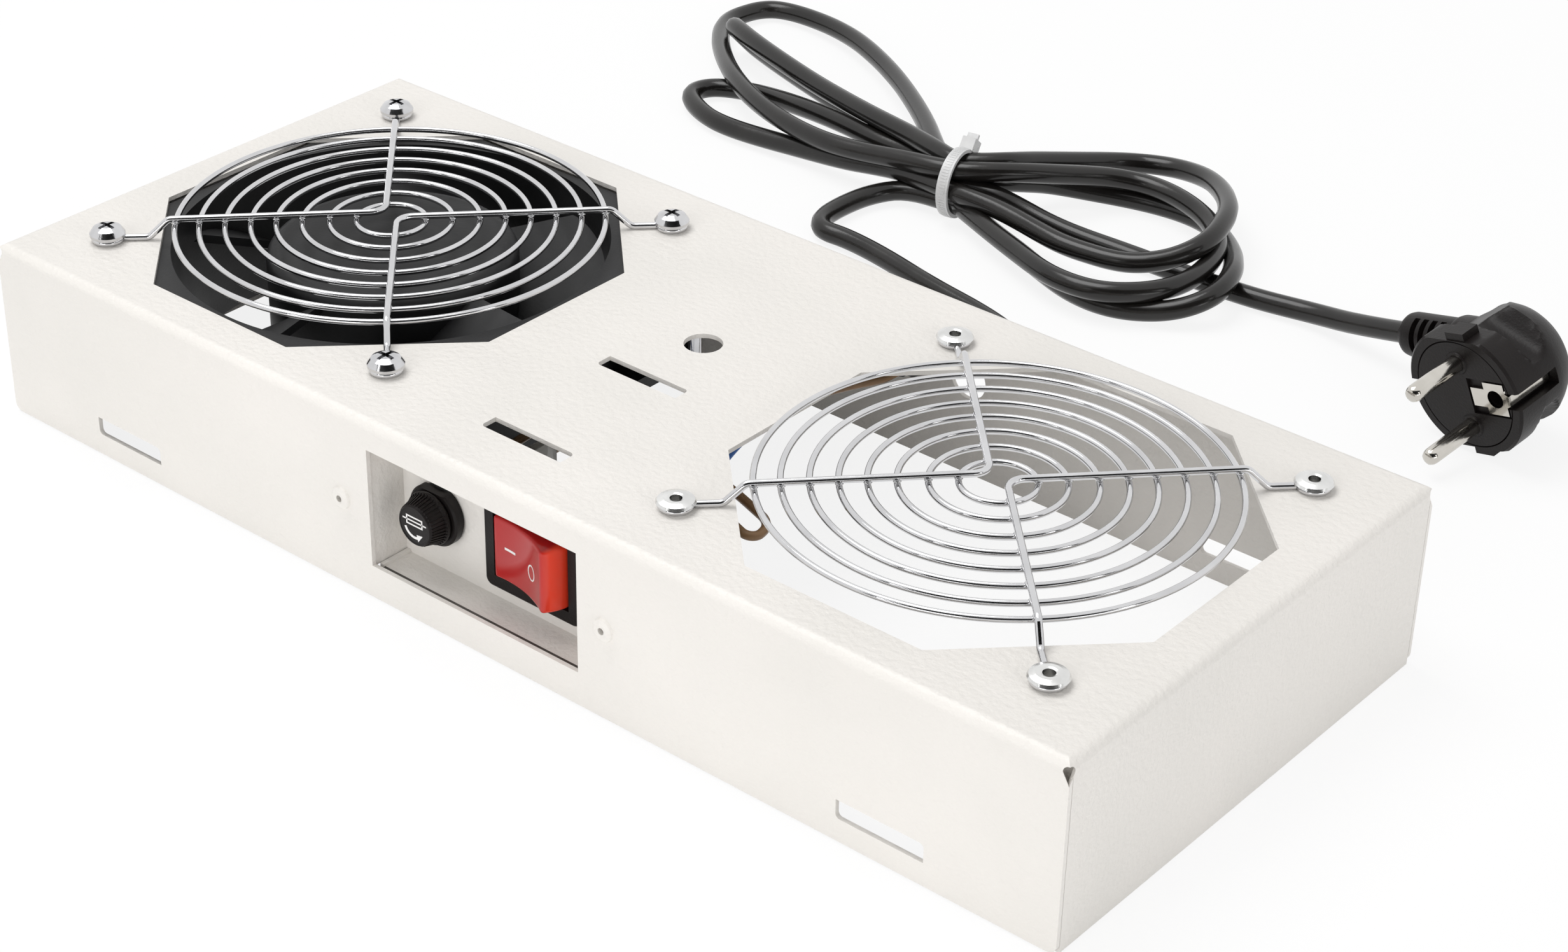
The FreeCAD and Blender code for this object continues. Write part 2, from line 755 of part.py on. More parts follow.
def stator_coils():
    low = fan_bottom + core_low - coil_overhang
    high = fan_bottom + core_high + coil_overhang
    inner = tube_outer + core_ring + 2.2
    outer = core_outer - shoe_depth - 2.2
    for k in range(pole_count):
        coil = block((fan_x + inner, fan_x + outer), span(0, pole_width + 2 * coil_side), (low, high))
        core_z = (fan_bottom + core_low - 0.1, fan_bottom + core_high + 0.1)
        coil = coil.cut(block((fan_x, fan_x + core_outer), span(0, pole_width + 0.2), core_z))
        coil.rotate(V(fan_x, 0, 0), UP, 360 / pole_count * k)
        yield coil


def terminal_places():
    depth, width, height = terminal_block
    face = fan_x + fan_size / 2 + depth
    z = (fan_bottom + fan_top) / 2
    return [V(face, sy * width / 4, z) for sy in (-1, 1)]


def fan_terminal_block():
    depth, width, height = terminal_block
    z = (fan_bottom + fan_top) / 2
    return block((fan_x + fan_size / 2, fan_x + fan_size / 2 + depth), span(0, width), span(z, height))


def fan_terminal_blades():
    z = (fan_bottom + fan_top) / 2
    for place in terminal_places():
        yield block((place.x, place.x + fan_blade), span(place.y, terminal_thick), span(z, terminal_width))


def switch_body():
    outer_x = span(switch_x, bezel_length)
    outer_z = span(switch_rise, bezel_height)
    bezel_front = pan_front - bezel_thick
    bezel = block(outer_x, (bezel_front, pan_front), outer_z)
    sides = [e for e in bezel.Edges if abs(e.tangentAt(e.FirstParameter).y) > 0.99]
    bezel = bezel.makeFillet(bezel_corner, sides)
    front_edges = [e for e in bezel.Edges if e.BoundBox.YMax < bezel_front + 1e-4]
    bezel = bezel.makeFillet(bezel_round, front_edges)
    back = pan_front + switch_depth
    case_z = span(switch_rise, switch_body_height)
    case = block(span(switch_x, switch_body_length), (pan_front, back), case_z)
    parts = [bezel, case]
    for sx in (-1, 1):
        wall = switch_x + sx * switch_body_length / 2
        catch = pan_back + cutout_gap
        ramp = [V(wall, catch, 0), V(wall + sx * latch_height, catch, 0), V(wall, catch + latch_length, 0)]
        low = switch_rise - switch_body_height / 4
        parts.append(prism([p.add(V(0, 0, low)) for p in ramp], V(0, 0, switch_body_height / 2)))
    reach = math.hypot(rocker_tip, rocker_tip_out) + rocker_gap
    pocket_z = span(switch_rise, rocker_height + 2 * rocker_gap)
    pocket_y = (bezel_front - 1, pivot_y + rocker_skirt + 4)
    pocket = block((switch_x - reach, switch_x + reach), pocket_y, pocket_z)
    hole_end = rocker_height / 2 + pivot_length + rocker_gap
    hole_start = V(switch_x, pivot_y, switch_rise - hole_end)
    bearing = rod(pivot_radius + pivot_clearance, hole_start, V(switch_x, pivot_y, switch_rise + hole_end))
    return joined(parts).cut(joined([pocket, bearing]))


def rocker():
    radius = math.hypot(rocker_tip, rocker_tip_out)
    low = switch_rise - rocker_height / 2

    def at(u, w):
        return V(switch_x + u, pivot_y - w, low)

    def on_circle(degrees):
        return at(radius * math.cos(math.radians(degrees)), radius * math.sin(math.radians(degrees)))

    top = math.degrees(math.atan2(rocker_tip_out, rocker_tip))
    bottom = -rocker_end_angle
    right_top, right_low = on_circle(top), on_circle(bottom)
    left_top, left_low = on_circle(180 - top), on_circle(180 - bottom)
    skirt = [at(rocker_skirt_half, -rocker_skirt), at(-rocker_skirt_half, -rocker_skirt)]
    edges = [
        Part.Arc(left_top, at(0, rocker_tip_out - rocker_dish), right_top).toShape(),
        Part.Arc(right_top, on_circle((top + bottom) / 2), right_low).toShape(),
        Part.LineSegment(right_low, skirt[0]).toShape(),
        Part.LineSegment(skirt[0], skirt[1]).toShape(),
        Part.LineSegment(skirt[1], left_low).toShape(),
        Part.Arc(left_low, on_circle(180 - (top + bottom) / 2), left_top).toShape(),
    ]
    solid = Part.Face(Part.Wire(edges)).extrude(V(0, 0, rocker_height))
    inside = rocker_skirt_half - rocker_wall
    roof = pivot_y - (rocker_tip_out - rocker_dish - 2 * rocker_wall)
    cavity_z = span(switch_rise, rocker_height - 2 * rocker_wall)
    cavity = block((switch_x - inside, switch_x + inside), (roof, pivot_y + rocker_skirt + 1), cavity_z)
    solid = solid.cut(cavity)
    pins = []
    for side in (-1, 1):
        root = rocker_height / 2 - rocker_wall
        tip = rocker_height / 2 + rocker_gap + pivot_length - 0.2
        start = V(switch_x, pivot_y, switch_rise + side * root)
        end = V(switch_x, pivot_y, switch_rise + side * tip)
        pins.append(rod(pivot_radius, start, end))
    solid = joined([solid] + pins)
    solid.rotate(V(switch_x, pivot_y, 0), UP, -rocker_tilt)
    return solid


def switch_lamp():
    y = pivot_y + lamp_depth
    floor = pivot_y + rocker_skirt + 4
    half = lamp_length / 2
    parts = [rod(lamp_radius, V(switch_x - half, y, switch_rise), V(switch_x + half, y, switch_rise))]
    for x in (switch_x - half / 2, switch_x + half / 2):
        parts.append(rod(0.3, V(x, y, switch_rise), V(x, floor, switch_rise)))
    return joined(parts)


def switch_terminal_places():
    back = pan_front + switch_depth
    places = []
    for x in (switch_x - switch_terminal_x, switch_x + switch_terminal_x):
        for z in (switch_rise - switch_terminal_z, switch_rise + switch_terminal_z):
            places.append(V(x, back, z))
    return places


def switch_terminals():
    thick, reach, wide = blade_terminal
    for place in switch_terminal_places():
        yield block(span(place.x, thick), (place.y, place.y + reach), span(place.z, wide))


def fuse_base(height):
    return V(fuse_x, pan_front + height, fuse_rise)


def fuse_barrel():
    flange_back = -seal_thick
    flange_front = flange_back - barrel_flange_thick
    profile = [(barrel_bore, flange_front), (barrel_flange, flange_front), (barrel_flange, flange_back)]
    profile += [(barrel_radius, flange_back), (barrel_radius, barrel_length), (1.2, barrel_length)]
    profile += [(1.2, barrel_length - barrel_floor), (barrel_bore, barrel_length - barrel_floor)]
    return lathe(profile, fuse_base(0), IN)


def fuse_seal():
    return tube(barrel_flange - 0.2, barrel_radius + 0.05, fuse_base(-seal_thick), fuse_base(0))


def fuse_nut():
    bore = barrel_radius + shank_clearance
    return hexagon_nut(fuse_nut_across, bore, fuse_base(bracket_sheet), IN, fuse_nut_height)


def fuse_cap():
    seat = -seal_thick - barrel_flange_thick - cap_gap
    spigot = barrel_bore - cap_spigot_gap
    bore = link_radius + link_gap + carrier_wall + carrier_gap
    profile = [(0, -cap_face), (cap_radius - 0.6, -cap_face), (cap_radius, -cap_face + 0.6)]
    profile += [(cap_radius, seat), (spigot, seat)]
    profile += [(spigot, seat + cap_spigot_length), (bore, seat + cap_spigot_length)]
    profile += [(bore, -cap_face + cap_front_wall), (0, -cap_face + cap_front_wall)]
    cap = lathe(profile, fuse_base(0), IN)
    grooves = []
    for k in range(knurl_count):
        angle = 2 * math.pi * k / knurl_count
        x = (cap_radius + 0.25) * math.cos(angle)
        z = (cap_radius + 0.25) * math.sin(angle)
        start = fuse_base(-cap_face + 0.9).add(V(x, 0, z))
        grooves.append(rod(knurl_depth + 0.25, start, fuse_base(seat + 1).add(V(x, 0, z))))
    return cap.cut(Part.makeCompound(grooves))


def fuse_link_front():
    return -cap_face + cap_front_wall + carrier_gap + 1.2


def fuse_carrier():
    inner = link_radius + link_gap
    front = -cap_face + cap_front_wall + carrier_gap
    profile = [(0, front), (inner + carrier_wall, front), (inner + carrier_wall, front + carrier_length)]
    profile += [(inner, front + carrier_length), (inner, front + 1.0), (0, front + 1.0)]
    return lathe(profile, fuse_base(0), IN)


def fuse_end_caps():
    front = fuse_link_front()
    for start in (front, front + link_length - link_cap):
        yield rod(link_radius, fuse_base(start), fuse_base(start + link_cap))


def fuse_glass():
    front = fuse_link_front()
    return rod(link_radius - 0.2, fuse_base(front + link_cap), fuse_base(front + link_length - link_cap))


def fuse_terminals():
    thick, reach, wide = blade_terminal
    start = fuse_link_front() + link_length + contact_gap
    floor = barrel_length - barrel_floor
    profile = [(0, start), (2.2, start), (2.2, floor), (1.15, floor)]
    profile += [(1.15, barrel_length + 1), (0, barrel_length + 1)]
    post = lathe(profile, fuse_base(0), IN)
    tail_y = (pan_front + barrel_length + 0.6, pan_front + barrel_length + reach)
    yield joined([post, block(span(fuse_x, thick), tail_y, span(fuse_rise, wide))])
    strip = fuse_side_place()
    leg = block((strip.x, fuse_x - barrel_radius - 0.02), (strip.y, strip.y + thick), span(fuse_rise, wide))
    yield joined([leg, block(span(strip.x, thick), (strip.y, strip.y + reach), span(fuse_rise, wide))])


def fuse_side_place():
    return V(fuse_x - barrel_radius - 2.2, pan_front + 10, fuse_rise)


def earth_stud():
    top = V(earth_x, earth_y, plate_under)
    return rod(stud_thread / 2, top.sub(V(0, 0, stud_length)), top)


def earth_tongue():
    low = plate_under - ring_tongue
    bore = stud_thread / 2 + shank_clearance
    eye = tube(ring_tongue_outer, bore, V(earth_x, earth_y, low), V(earth_x, earth_y, plate_under))
    tongue = block((earth_x + ring_tongue_outer - 0.6, earth_x + 11), span(earth_y, 3.4), (low, plate_under))
    crimp_start = V(earth_x + 10, earth_y, low - 1.1)
    crimp = tube(1.9, core_wire / 2, crimp_start, crimp_start.add(V(7, 0, 0)))
    return joined([eye, tongue, crimp])


def earth_nut():
    base = V(earth_x, earth_y, plate_under - ring_tongue - nut_height)
    return hexagon_nut(nut_across, stud_thread / 2 + shank_clearance, base, UP, nut_height)


def blade_tips():
    """Free end of every blade terminal, the way it points, and its width."""
    thick, reach, wide = blade_terminal
    tips = {}
    for place in switch_terminal_places():
        side = "right" if place.x > switch_x else "left"
        level = "upper" if place.z > switch_rise else "lower"
        tips[level + " " + side] = (place.add(V(0, reach, 0)), IN, wide)
    tips["fuse end"] = (V(fuse_x, pan_front + barrel_length + reach, fuse_rise), IN, wide)
    tips["fuse side"] = (fuse_side_place().add(V(0, reach, 0)), IN, wide)
    for name, place in zip(("fan live", "fan neutral"), terminal_places()):
        tips[name] = (place.add(V(fan_blade, 0, 0)), V(1, 0, 0), terminal_width)
    return tips


def push_connectors():
    """Insulated receptacles pushed over the blades."""
    for tip, way, wide in blade_tips().values():
        high = wide + 2 * connector_wall
        sleeve = block((-connector_grip, connector_back), span(0, connector_thick), span(0, high))
        mouth = block((-connector_grip - 1, 0.1), span(0, blade_terminal[0] + 0.1), span(0, wide + 0.1))
        sleeve = sleeve.cut(mouth)
        sleeve.Placement = FreeCAD.Placement(tip, FreeCAD.Rotation(V(1, 0, 0), way))
        yield sleeve


def inner_wires():
    """Insulated cores and leads: each ends on a connector, the cord's cut end or the earth crimp."""
    back = connector_back + wire_end_gap
    end = {name: tip.add(V(way).multiply(back)) for name, (tip, way, wide) in blade_tips().items()}
    cut_end = V(gland_x, half_depth - gland_inner - 4 - wire_end_gap, gland_rise)
    offset = core_wire * 0.6
    earth_start = cut_end.add(V(-offset, 0, offset))
    neutral_start = cut_end.add(V(offset, 0, offset))
    live_start = cut_end.add(V(0, 0, -offset))
    crimp_end = V(earth_x + 17, earth_y, plate_under - ring_tongue - 1.1)
    live_in = [live_start, live_start.add(V(-0.4, -6, 0)), V(18, 44, 29.5), V(8, 28, 26), V(-8, 14, 21)]
    live_in += [V(-19, 2, 20), end["fuse end"].add(V(0, 9, 0)), end["fuse end"]]
    live_loop = [end["fuse side"], end["fuse side"].add(V(0, 10, 1)), V(-22, -14, 33), V(4, -9, 32)]
    live_loop += [V(27, -10, 28), V(44, -14, 26), V(45.5, -23, 26), V(32, -20, 28), V(22, -16, 30)]
    live_loop += [end["upper right"].add(V(0, 9, 0)), end["upper right"]]
    live_fan = [end["upper left"], end["upper left"].add(V(0, 9, 2)), V(-3, -11, 37), V(-10, -6, 36)]
    live_fan += [end["fan live"].add(V(8.3, -0.1, 0.7)), end["fan live"]]
    neutral_in = [neutral_start, neutral_start.add(V(0, -6, 0.3)), V(22, 42, 36), V(20, 22, 36)]
    neutral_in += [V(18, 2, 31), V(18.5, -16, 19), end["lower right"]]
    neutral_fan = [end["lower left"], end["lower left"].add(V(-0.5, 10, -0.5)), V(-4, -8, 19), V(-11, 1, 23)]
    neutral_fan += [end["fan neutral"].add(V(8.3, 0.1, -1.3)), end["fan neutral"]]
    earth = [earth_start, earth_start.add(V(-0.5, -6, 0.3)), V(18, 46, 38), V(14, 35, 42.5)]
    earth += [V(11, 24.6, plate_under - 2.9), crimp_end]
    live = [live_in, live_loop, live_fan]
    return {"live_wires": live, "neutral_wires": [neutral_in, neutral_fan], "earth_wire": [earth]}


def wire_sleeves(points_list):
    return [swept(points, core_wire) for points in points_list]


def cord_gland():
    bore = cord_diameter / 2
    neck = gland_hole / 2 - shank_clearance
    barb = neck + gland_barb
    behind = -sheet - 0.05
    profile = [(bore, -gland_inner), (neck - 0.8, -gland_inner), (barb, behind - 1.5), (barb, behind)]
    profile += [(neck, behind), (neck, 0), (gland_flange, 0), (gland_flange, gland_flange_thick)]
    profile += [(gland_flange - 1.4, gland_flange_thick), (gland_tip, gland_sleeve), (bore, gland_sleeve)]
    return lathe(profile, V(gland_x, half_depth, gland_rise), IN)


def in_plug(x, y, z):
    return plug_face.add(plug_turn.multVec(V(x, y, z)))


def placed_in_plug(shape):
    shape.Placement = FreeCAD.Placement(plug_face, plug_turn).multiply(shape.Placement)
    return shape


def plug_shell():
    profile = [(0, 0), (plug_radius - 0.8, 0), (plug_radius, 0.8), (plug_radius, plug_rim)]
    profile += [(plug_back_radius + 2.5, plug_back - 4), (plug_back_radius, plug_back - 1)]
    profile += [(plug_back_radius - 3, plug_back), (0, plug_back)]
    shell = lathe(profile, V(0, 0, 0), IN)
    boss = rod(plug_boss_radius, V(0, plug_cord_back, 0), V(-plug_boss_reach, plug_cord_back, 0))
    key = block(span(0, 5.0), (1.0, 7.0), (-plug_radius - plug_key, -plug_radius + 2))
    return joined([shell, boss, key])


def plug_clips():
    """Earth strips lying in the two sides, turned over the face at the front."""
    for sx in (-1, 1):
        edge = plug_radius - clip_inset
        side_x = sorted((sx * edge, sx * (edge + clip_sheet)))
        side = block(side_x, (clip_sink, clip_reach), span(0, clip_width))
        over_x = sorted((sx * (edge - clip_turn), sx * (edge + clip_sheet)))
        over = block(over_x, (clip_sink - clip_sheet, clip_sink), span(0, clip_width))
        yield joined([side, over])


def plug_pin_places():
    return [V(0, 0, sz * pin_pitch / 2) for sz in (-1, 1)]


def plug_pins():
    for place in plug_pin_places():
        profile = [(0, -pin_root), (pin_radius, -pin_root), (pin_radius, pin_length - 1.5)]
        profile += [(pin_radius - 1.2, pin_length), (0, pin_length)]
        yield lathe(profile, place, OUT)


def plug_parts():
    shell = plug_shell()
    pins = list(plug_pins())
    clips = list(plug_clips())
    pockets = []
    for place in plug_pin_places():
        pockets.append(rod(pin_radius + pin_gap, place.add(V(0, -1, 0)), place.add(V(0, pin_root, 0))))
    for sx in (-1, 1):
        edge = plug_radius - clip_inset
        outside = sx * (plug_radius + 1)
        turned_x = sorted((sx * (edge - clip_turn), outside))
        pockets.append(block(turned_x, (-1, clip_sink), span(0, clip_width)))
        pockets.append(block(sorted((sx * edge, outside)), (-1, clip_reach), span(0, clip_width)))
    shell = shell.cut(joined(pockets))
    start = V(-plug_boss_reach, plug_cord_back, 0)
    bore = cord_diameter / 2
    profile = [(bore, 0), (relief_wide, 0), (relief_narrow, relief_length), (bore, relief_length)]
    sleeve = lathe(profile, start, V(-1, 0, 0))
    save("plug_body", placed_in_plug(shell))
    save("plug_pins", *[placed_in_plug(p) for p in pins])
    save("plug_earth_clips", *[placed_in_plug(c) for c in clips])
    save("plug_strain_relief", placed_in_plug(sleeve))


def cord_hank():
    lobes = []
    for outline, height in ((left_lobe, left_lobe_height), (right_lobe, right_lobe_height)):
        lobes.append(prism([V(x, y, hank_floor_gap) for x, y in outline], V(0, 0, height)))
    heading = bundle_heading()
    axis = V(tie_centre.x, tie_centre.y, bundle_line())
    half = V(heading).multiply(bundle_length / 2)
    return joined(lobes + [rod(bundle_radius, axis.sub(half), axis.add(half))])


def bundle_heading():
    return V(math.cos(math.radians(bundle_turn)), math.sin(math.radians(bundle_turn)), 0)


def bundle_line():
    return bundle_radius + tie_gap + tie_thick + hank_floor_gap


def cable_tie():
    heading = bundle_heading()
    axis = V(tie_centre.x, tie_centre.y, bundle_line())
    half = V(heading).multiply(tie_width / 2)
    band = tube(bundle_radius + tie_gap + tie_thick, bundle_radius + tie_gap, axis.sub(half), axis.add(half))
    width, length, height = tie_head
    seat = bundle_radius + tie_gap + tie_thick / 2
    head = block(span(0, width), span(0, length), (seat, seat + height))
    stub = block(span(0, tie_width), span(0, tie_thick), (seat + height - 1, seat + height + tie_stub))
    closure = joined([head, stub])
    lean = FreeCAD.Rotation(heading, -tie_head_lean)
    closure.Placement = FreeCAD.Placement(axis, lean.multiply(FreeCAD.Rotation(UP, bundle_turn)))
    return joined([band, closure])


def cords():
    bend = in_plug(-plug_boss_reach - relief_length - tail_straight, plug_cord_back, 0)
    inside = in_plug(-plug_boss_reach, plug_cord_back, 0)
    save("cord_lead", swept(lead_points, cord_diameter, report="cord lead"))
    save("cord_tail", swept(tail_points + [bend, inside], cord_diameter, report="cord tail"))
    save("cord_hank", cord_hank())
    save("cable_tie", cable_tie())


def build():
    save("hood", hood())
    save("control_bracket", control_bracket())
    save("bracket_rivets", *bracket_rivets())
    save("fan_guard", *finger_guard(fan_x))
    save("vent_guard", *finger_guard(vent_x))
    save("fan_screws", *fan_screws())
    save("fan_nuts", *fan_nuts())
    save("guard_rivets", *guard_rivets())
    save("fan_frame", fan_frame())
    save("impeller", impeller())
    save("rotor_cup", rotor_cup())
    save("rotor_shaft", rotor_shaft())
    save("shaft_clip", shaft_clip())
    save("fan_bearings", *fan_bearings())
    save("stator_core", stator_core())
    save("stator_coils", *stator_coils())
    save("fan_terminal_block", fan_terminal_block())
    save("fan_terminal_blades", *fan_terminal_blades())
    save("switch_body", switch_body())
    save("switch_rocker", rocker())
    save("switch_lamp", switch_lamp())
    save("switch_terminals", *switch_terminals())
    save("fuse_barrel", fuse_barrel())
    save("fuse_seal", fuse_seal())
    save("fuse_nut", fuse_nut())
    save("fuse_cap", fuse_cap())
    save("fuse_carrier", fuse_carrier())
    save("fuse_end_caps", *fuse_end_caps())
    save("fuse_glass", fuse_glass())
    save("fuse_terminals", *fuse_terminals())
    save("earth_stud", earth_stud())
    save("earth_tongue", earth_tongue())
    save("earth_nut", earth_nut())
    save("push_connectors", *push_connectors())
    for node, runs in inner_wires().items():
        save(node, *wire_sleeves(runs))
    save("cord_gland", cord_gland())
    cords()
    plug_parts()


os.makedirs("parts", exist_ok=True)
build()
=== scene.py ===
import math

import bmesh
import bpy
from mathutils import Matrix, Vector


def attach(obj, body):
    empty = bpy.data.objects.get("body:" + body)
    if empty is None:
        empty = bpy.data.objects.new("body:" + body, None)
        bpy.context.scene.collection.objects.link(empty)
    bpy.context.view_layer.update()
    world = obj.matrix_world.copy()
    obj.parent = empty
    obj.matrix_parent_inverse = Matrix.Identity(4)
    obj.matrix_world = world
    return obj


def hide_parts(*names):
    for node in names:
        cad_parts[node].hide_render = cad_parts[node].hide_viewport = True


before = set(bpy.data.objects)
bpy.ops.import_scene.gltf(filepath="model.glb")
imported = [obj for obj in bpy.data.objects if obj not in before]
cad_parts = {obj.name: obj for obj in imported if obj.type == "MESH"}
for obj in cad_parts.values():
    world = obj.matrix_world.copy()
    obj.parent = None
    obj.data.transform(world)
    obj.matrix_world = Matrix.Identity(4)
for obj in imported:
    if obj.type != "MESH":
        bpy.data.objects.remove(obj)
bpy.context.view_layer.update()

# Studio: a white floor under soft light from above, from the front and from the right, with a dark card
# behind the camera for shiny metal to mirror. The camera stands in front of the unit, to its right,
# and looks down on it.
SENSOR_WIDTH = 36.0
LENS = 72.2
CLIP_START = 0.01
CAMERA_PLACE = (0.45392, -0.50909, 0.43)
CAMERA_RIGHT = (0.765733, 0.642892, 0.018516)
CAMERA_UP = (-0.345897, 0.387375, 0.854574)
CAMERA_BACK = (0.542226, -0.66078, 0.519)
SKY_WHITE = (1.0, 1.0, 1.0, 1.0)
SKY_LIGHT = 0.42
SKY_SEEN = 1.0
SQUARE = ((-1, -1), (1, -1), (1, 1), (-1, 1))
FLOOR_HALF = 4.0
FLOOR_DROP = 0.0004
FLOOR_PAINT = (0.97, 0.97, 0.97, 1.0)
FLOOR_GLOW = 0.86
CARD_CORNERS = [(2.1, 0.55, 0.22), (-0.55, -1.75, 0.22), (-0.55, -1.75, 1.75), (2.1, 0.55, 1.75)]
CARD_PAINT = (0.02, 0.02, 0.02, 1.0)
STAGE_ROUGHNESS = 0.9

scene = bpy.context.scene
scene.view_settings.view_transform = "Standard"
camera = bpy.data.objects.new("camera", bpy.data.cameras.new("camera"))
camera.data.sensor_width = SENSOR_WIDTH
camera.data.lens = LENS
camera.data.clip_start = CLIP_START
camera_turn = Matrix((CAMERA_RIGHT, CAMERA_UP, CAMERA_BACK)).transposed()
camera.matrix_world = Matrix.Translation(CAMERA_PLACE) @ camera_turn.to_4x4()
scene.collection.objects.link(camera)
scene.camera = camera


def rescaled(tree, value, source, target):
    """A value brought from one range to another."""
    ranged = tree.nodes.new("ShaderNodeMapRange")
    for label, limit in zip(("From Min", "From Max", "To Min", "To Max"), source + target):
        ranged.inputs[label].default_value = limit
    tree.links.new(value, ranged.inputs["Value"])
    return ranged.outputs["Result"]


def seeing_rays(tree, others, seeing):
    """One number for camera, glossy and transmission rays, and another for the rest."""
    path = tree.nodes.new("ShaderNodeLightPath")
    seen = path.outputs["Is Camera Ray"]
    for kind in ("Is Glossy Ray", "Is Transmission Ray"):
        most = tree.nodes.new("ShaderNodeMath")
        most.operation = "MAXIMUM"
        tree.links.new(seen, most.inputs[0])
        tree.links.new(path.outputs[kind], most.inputs[1])
        seen = most.outputs[0]
    return rescaled(tree, seen, (0.0, 1.0), (others, seeing))


world = bpy.data.worlds.new("studio")
world.use_nodes = True
scene.world = world
sky_tree = world.node_tree
sky_tree.nodes.clear()
sky = sky_tree.nodes.new("ShaderNodeBackground")
sky.inputs["Color"].default_value = SKY_WHITE
sky_tree.links.new(seeing_rays(sky_tree, SKY_LIGHT, SKY_SEEN), sky.inputs["Strength"])
sky_out = sky_tree.nodes.new("ShaderNodeOutputWorld")
sky_tree.links.new(sky.outputs[0], sky_out.inputs["Surface"])


def soft_lamp(name, place, target, size, power):
    """A square soft box that faces its target."""
    lamp = bpy.data.objects.new(name, bpy.data.lights.new(name, "AREA"))
    lamp.data.size = size
    lamp.data.energy = power
    lamp.location = place
    aim = Vector(target) - Vector(place)
    lamp.rotation_euler = aim.to_track_quat("-Z", "Y").to_euler()
    scene.collection.objects.link(lamp)


soft_lamp("key_lamp", place=(-0.45, -0.05, 1.3), target=(0.0, 0.05, 0.03), size=0.9, power=11.0)
soft_lamp("fill_lamp", place=(0.2, -1.4, 0.5), target=(0.0, 0.0, 0.03), size=1.0, power=7.6)
soft_lamp("side_lamp", place=(1.5, -0.2, 0.45), target=(0.0, 0.0, 0.03), size=0.8, power=5.0)


def stage_plane(name, corners, paint):
    """A flat studio surface that isn't part of the object, with its node tree and its shader."""
    mesh = bpy.data.meshes.new(name)
    mesh.from_pydata(corners, [], [tuple(range(len(corners)))])
    plane = bpy.data.objects.new(name, mesh)
    scene.collection.objects.link(plane)
    material = bpy.data.materials.new(name)
    material.use_nodes = True
    shader = material.node_tree.nodes["Principled BSDF"]
    shader.inputs["Base Color"].default_value = paint
    shader.inputs["Roughness"].default_value = STAGE_ROUGHNESS
    shader.inputs["Specular IOR Level"].default_value = 0.0
    mesh.materials.append(material)
    return plane, material.node_tree, shader


floor_corners = [(x * FLOOR_HALF, y * FLOOR_HALF, -FLOOR_DROP) for x, y in SQUARE]
_, floor_tree, floor_matt = stage_plane("floor", floor_corners, FLOOR_PAINT)
glow = floor_tree.nodes.new("ShaderNodeEmission")
blend = floor_tree.nodes.new("ShaderNodeMixShader")
floor_tree.links.new(seeing_rays(floor_tree, 0.0, FLOOR_GLOW), blend.inputs["Fac"])
floor_tree.links.new(floor_matt.outputs[0], blend.inputs[1])
floor_tree.links.new(glow.outputs[0], blend.inputs[2])
floor_tree.links.new(blend.outputs[0], floor_tree.nodes["Material Output"].inputs["Surface"])

card, _, _ = stage_plane("dark_card", CARD_CORNERS, CARD_PAINT)
card.visible_camera = False
card.visible_diffuse = False
card.visible_transmission = False
card.visible_shadow = False

# Powder coat: the folded steel hood, the switch pan behind its front opening and the painted blind rivets
# are sprayed off-white together and baked, which leaves a fine even grain.
PATTERN_SPAN = (0.3, 0.7)
PATTERN_DETAIL = 2.0


def new_finish(name):
    """A material with its node tree, its shader and object coordinates."""
    material = bpy.data.materials.new(name)
    material.use_nodes = True
    tree = material.node_tree
    place = tree.nodes.new("ShaderNodeTexCoord").outputs["Object"]
    return material, tree, tree.nodes["Principled BSDF"], place


def grain(tree, place, size):
    """A noise pattern whose patches are about this many metres across."""
    noise = tree.nodes.new("ShaderNodeTexNoise")
    noise.inputs["Scale"].default_value = 1.0 / size
    noise.inputs["Detail"].default_value = PATTERN_DETAIL
    tree.links.new(place, noise.inputs["Vector"])
    return noise.outputs["Fac"]


def tint(tree, value, dark, light):
    """A pattern turned into a colour between two shades."""
    ramp = tree.nodes.new("ShaderNodeValToRGB")
    for stop, position, shade in zip(ramp.color_ramp.elements, PATTERN_SPAN, (dark, light)):
        stop.position = position
        stop.color = shade + (1.0,)
    tree.links.new(value, ramp.inputs["Fac"])
    return ramp.outputs["Color"]


def relief(tree, value, depth, shader):
    """A pattern pressed into the surface, this many metres deep."""
    bump = tree.nodes.new("ShaderNodeBump")
    bump.inputs["Strength"].default_value = 1.0
    bump.inputs["Distance"].default_value = depth
    tree.links.new(value, bump.inputs["Height"])
    tree.links.new(bump.outputs["Normal"], shader.inputs["Normal"])


def plain_finish(name, dark, light, rough, patch, texture, depth, metal=0.0, gloss=0.5, clear=0.0):
    """A finish with uneven colour and roughness in patches, and a fine texture of some depth."""
    material, tree, shader, place = new_finish(name)
    blotch = grain(tree, place, patch)
    tree.links.new(tint(tree, blotch, dark, light), shader.inputs["Base Color"])
    tree.links.new(rescaled(tree, blotch, PATTERN_SPAN, rough), shader.inputs["Roughness"])
    relief(tree, grain(tree, place, texture), depth, shader)
    shader.inputs["Metallic"].default_value = metal
    shader.inputs["Specular IOR Level"].default_value = gloss
    shader.inputs["Transmission Weight"].default_value = clear
    return material


def dress(material, *names):
    """Gives CAD nodes this finish."""
    for name in names:
        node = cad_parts[name]
        if not node.material_slots:
            node.data.materials.append(material)
        for held in node.material_slots:
            held.material = material


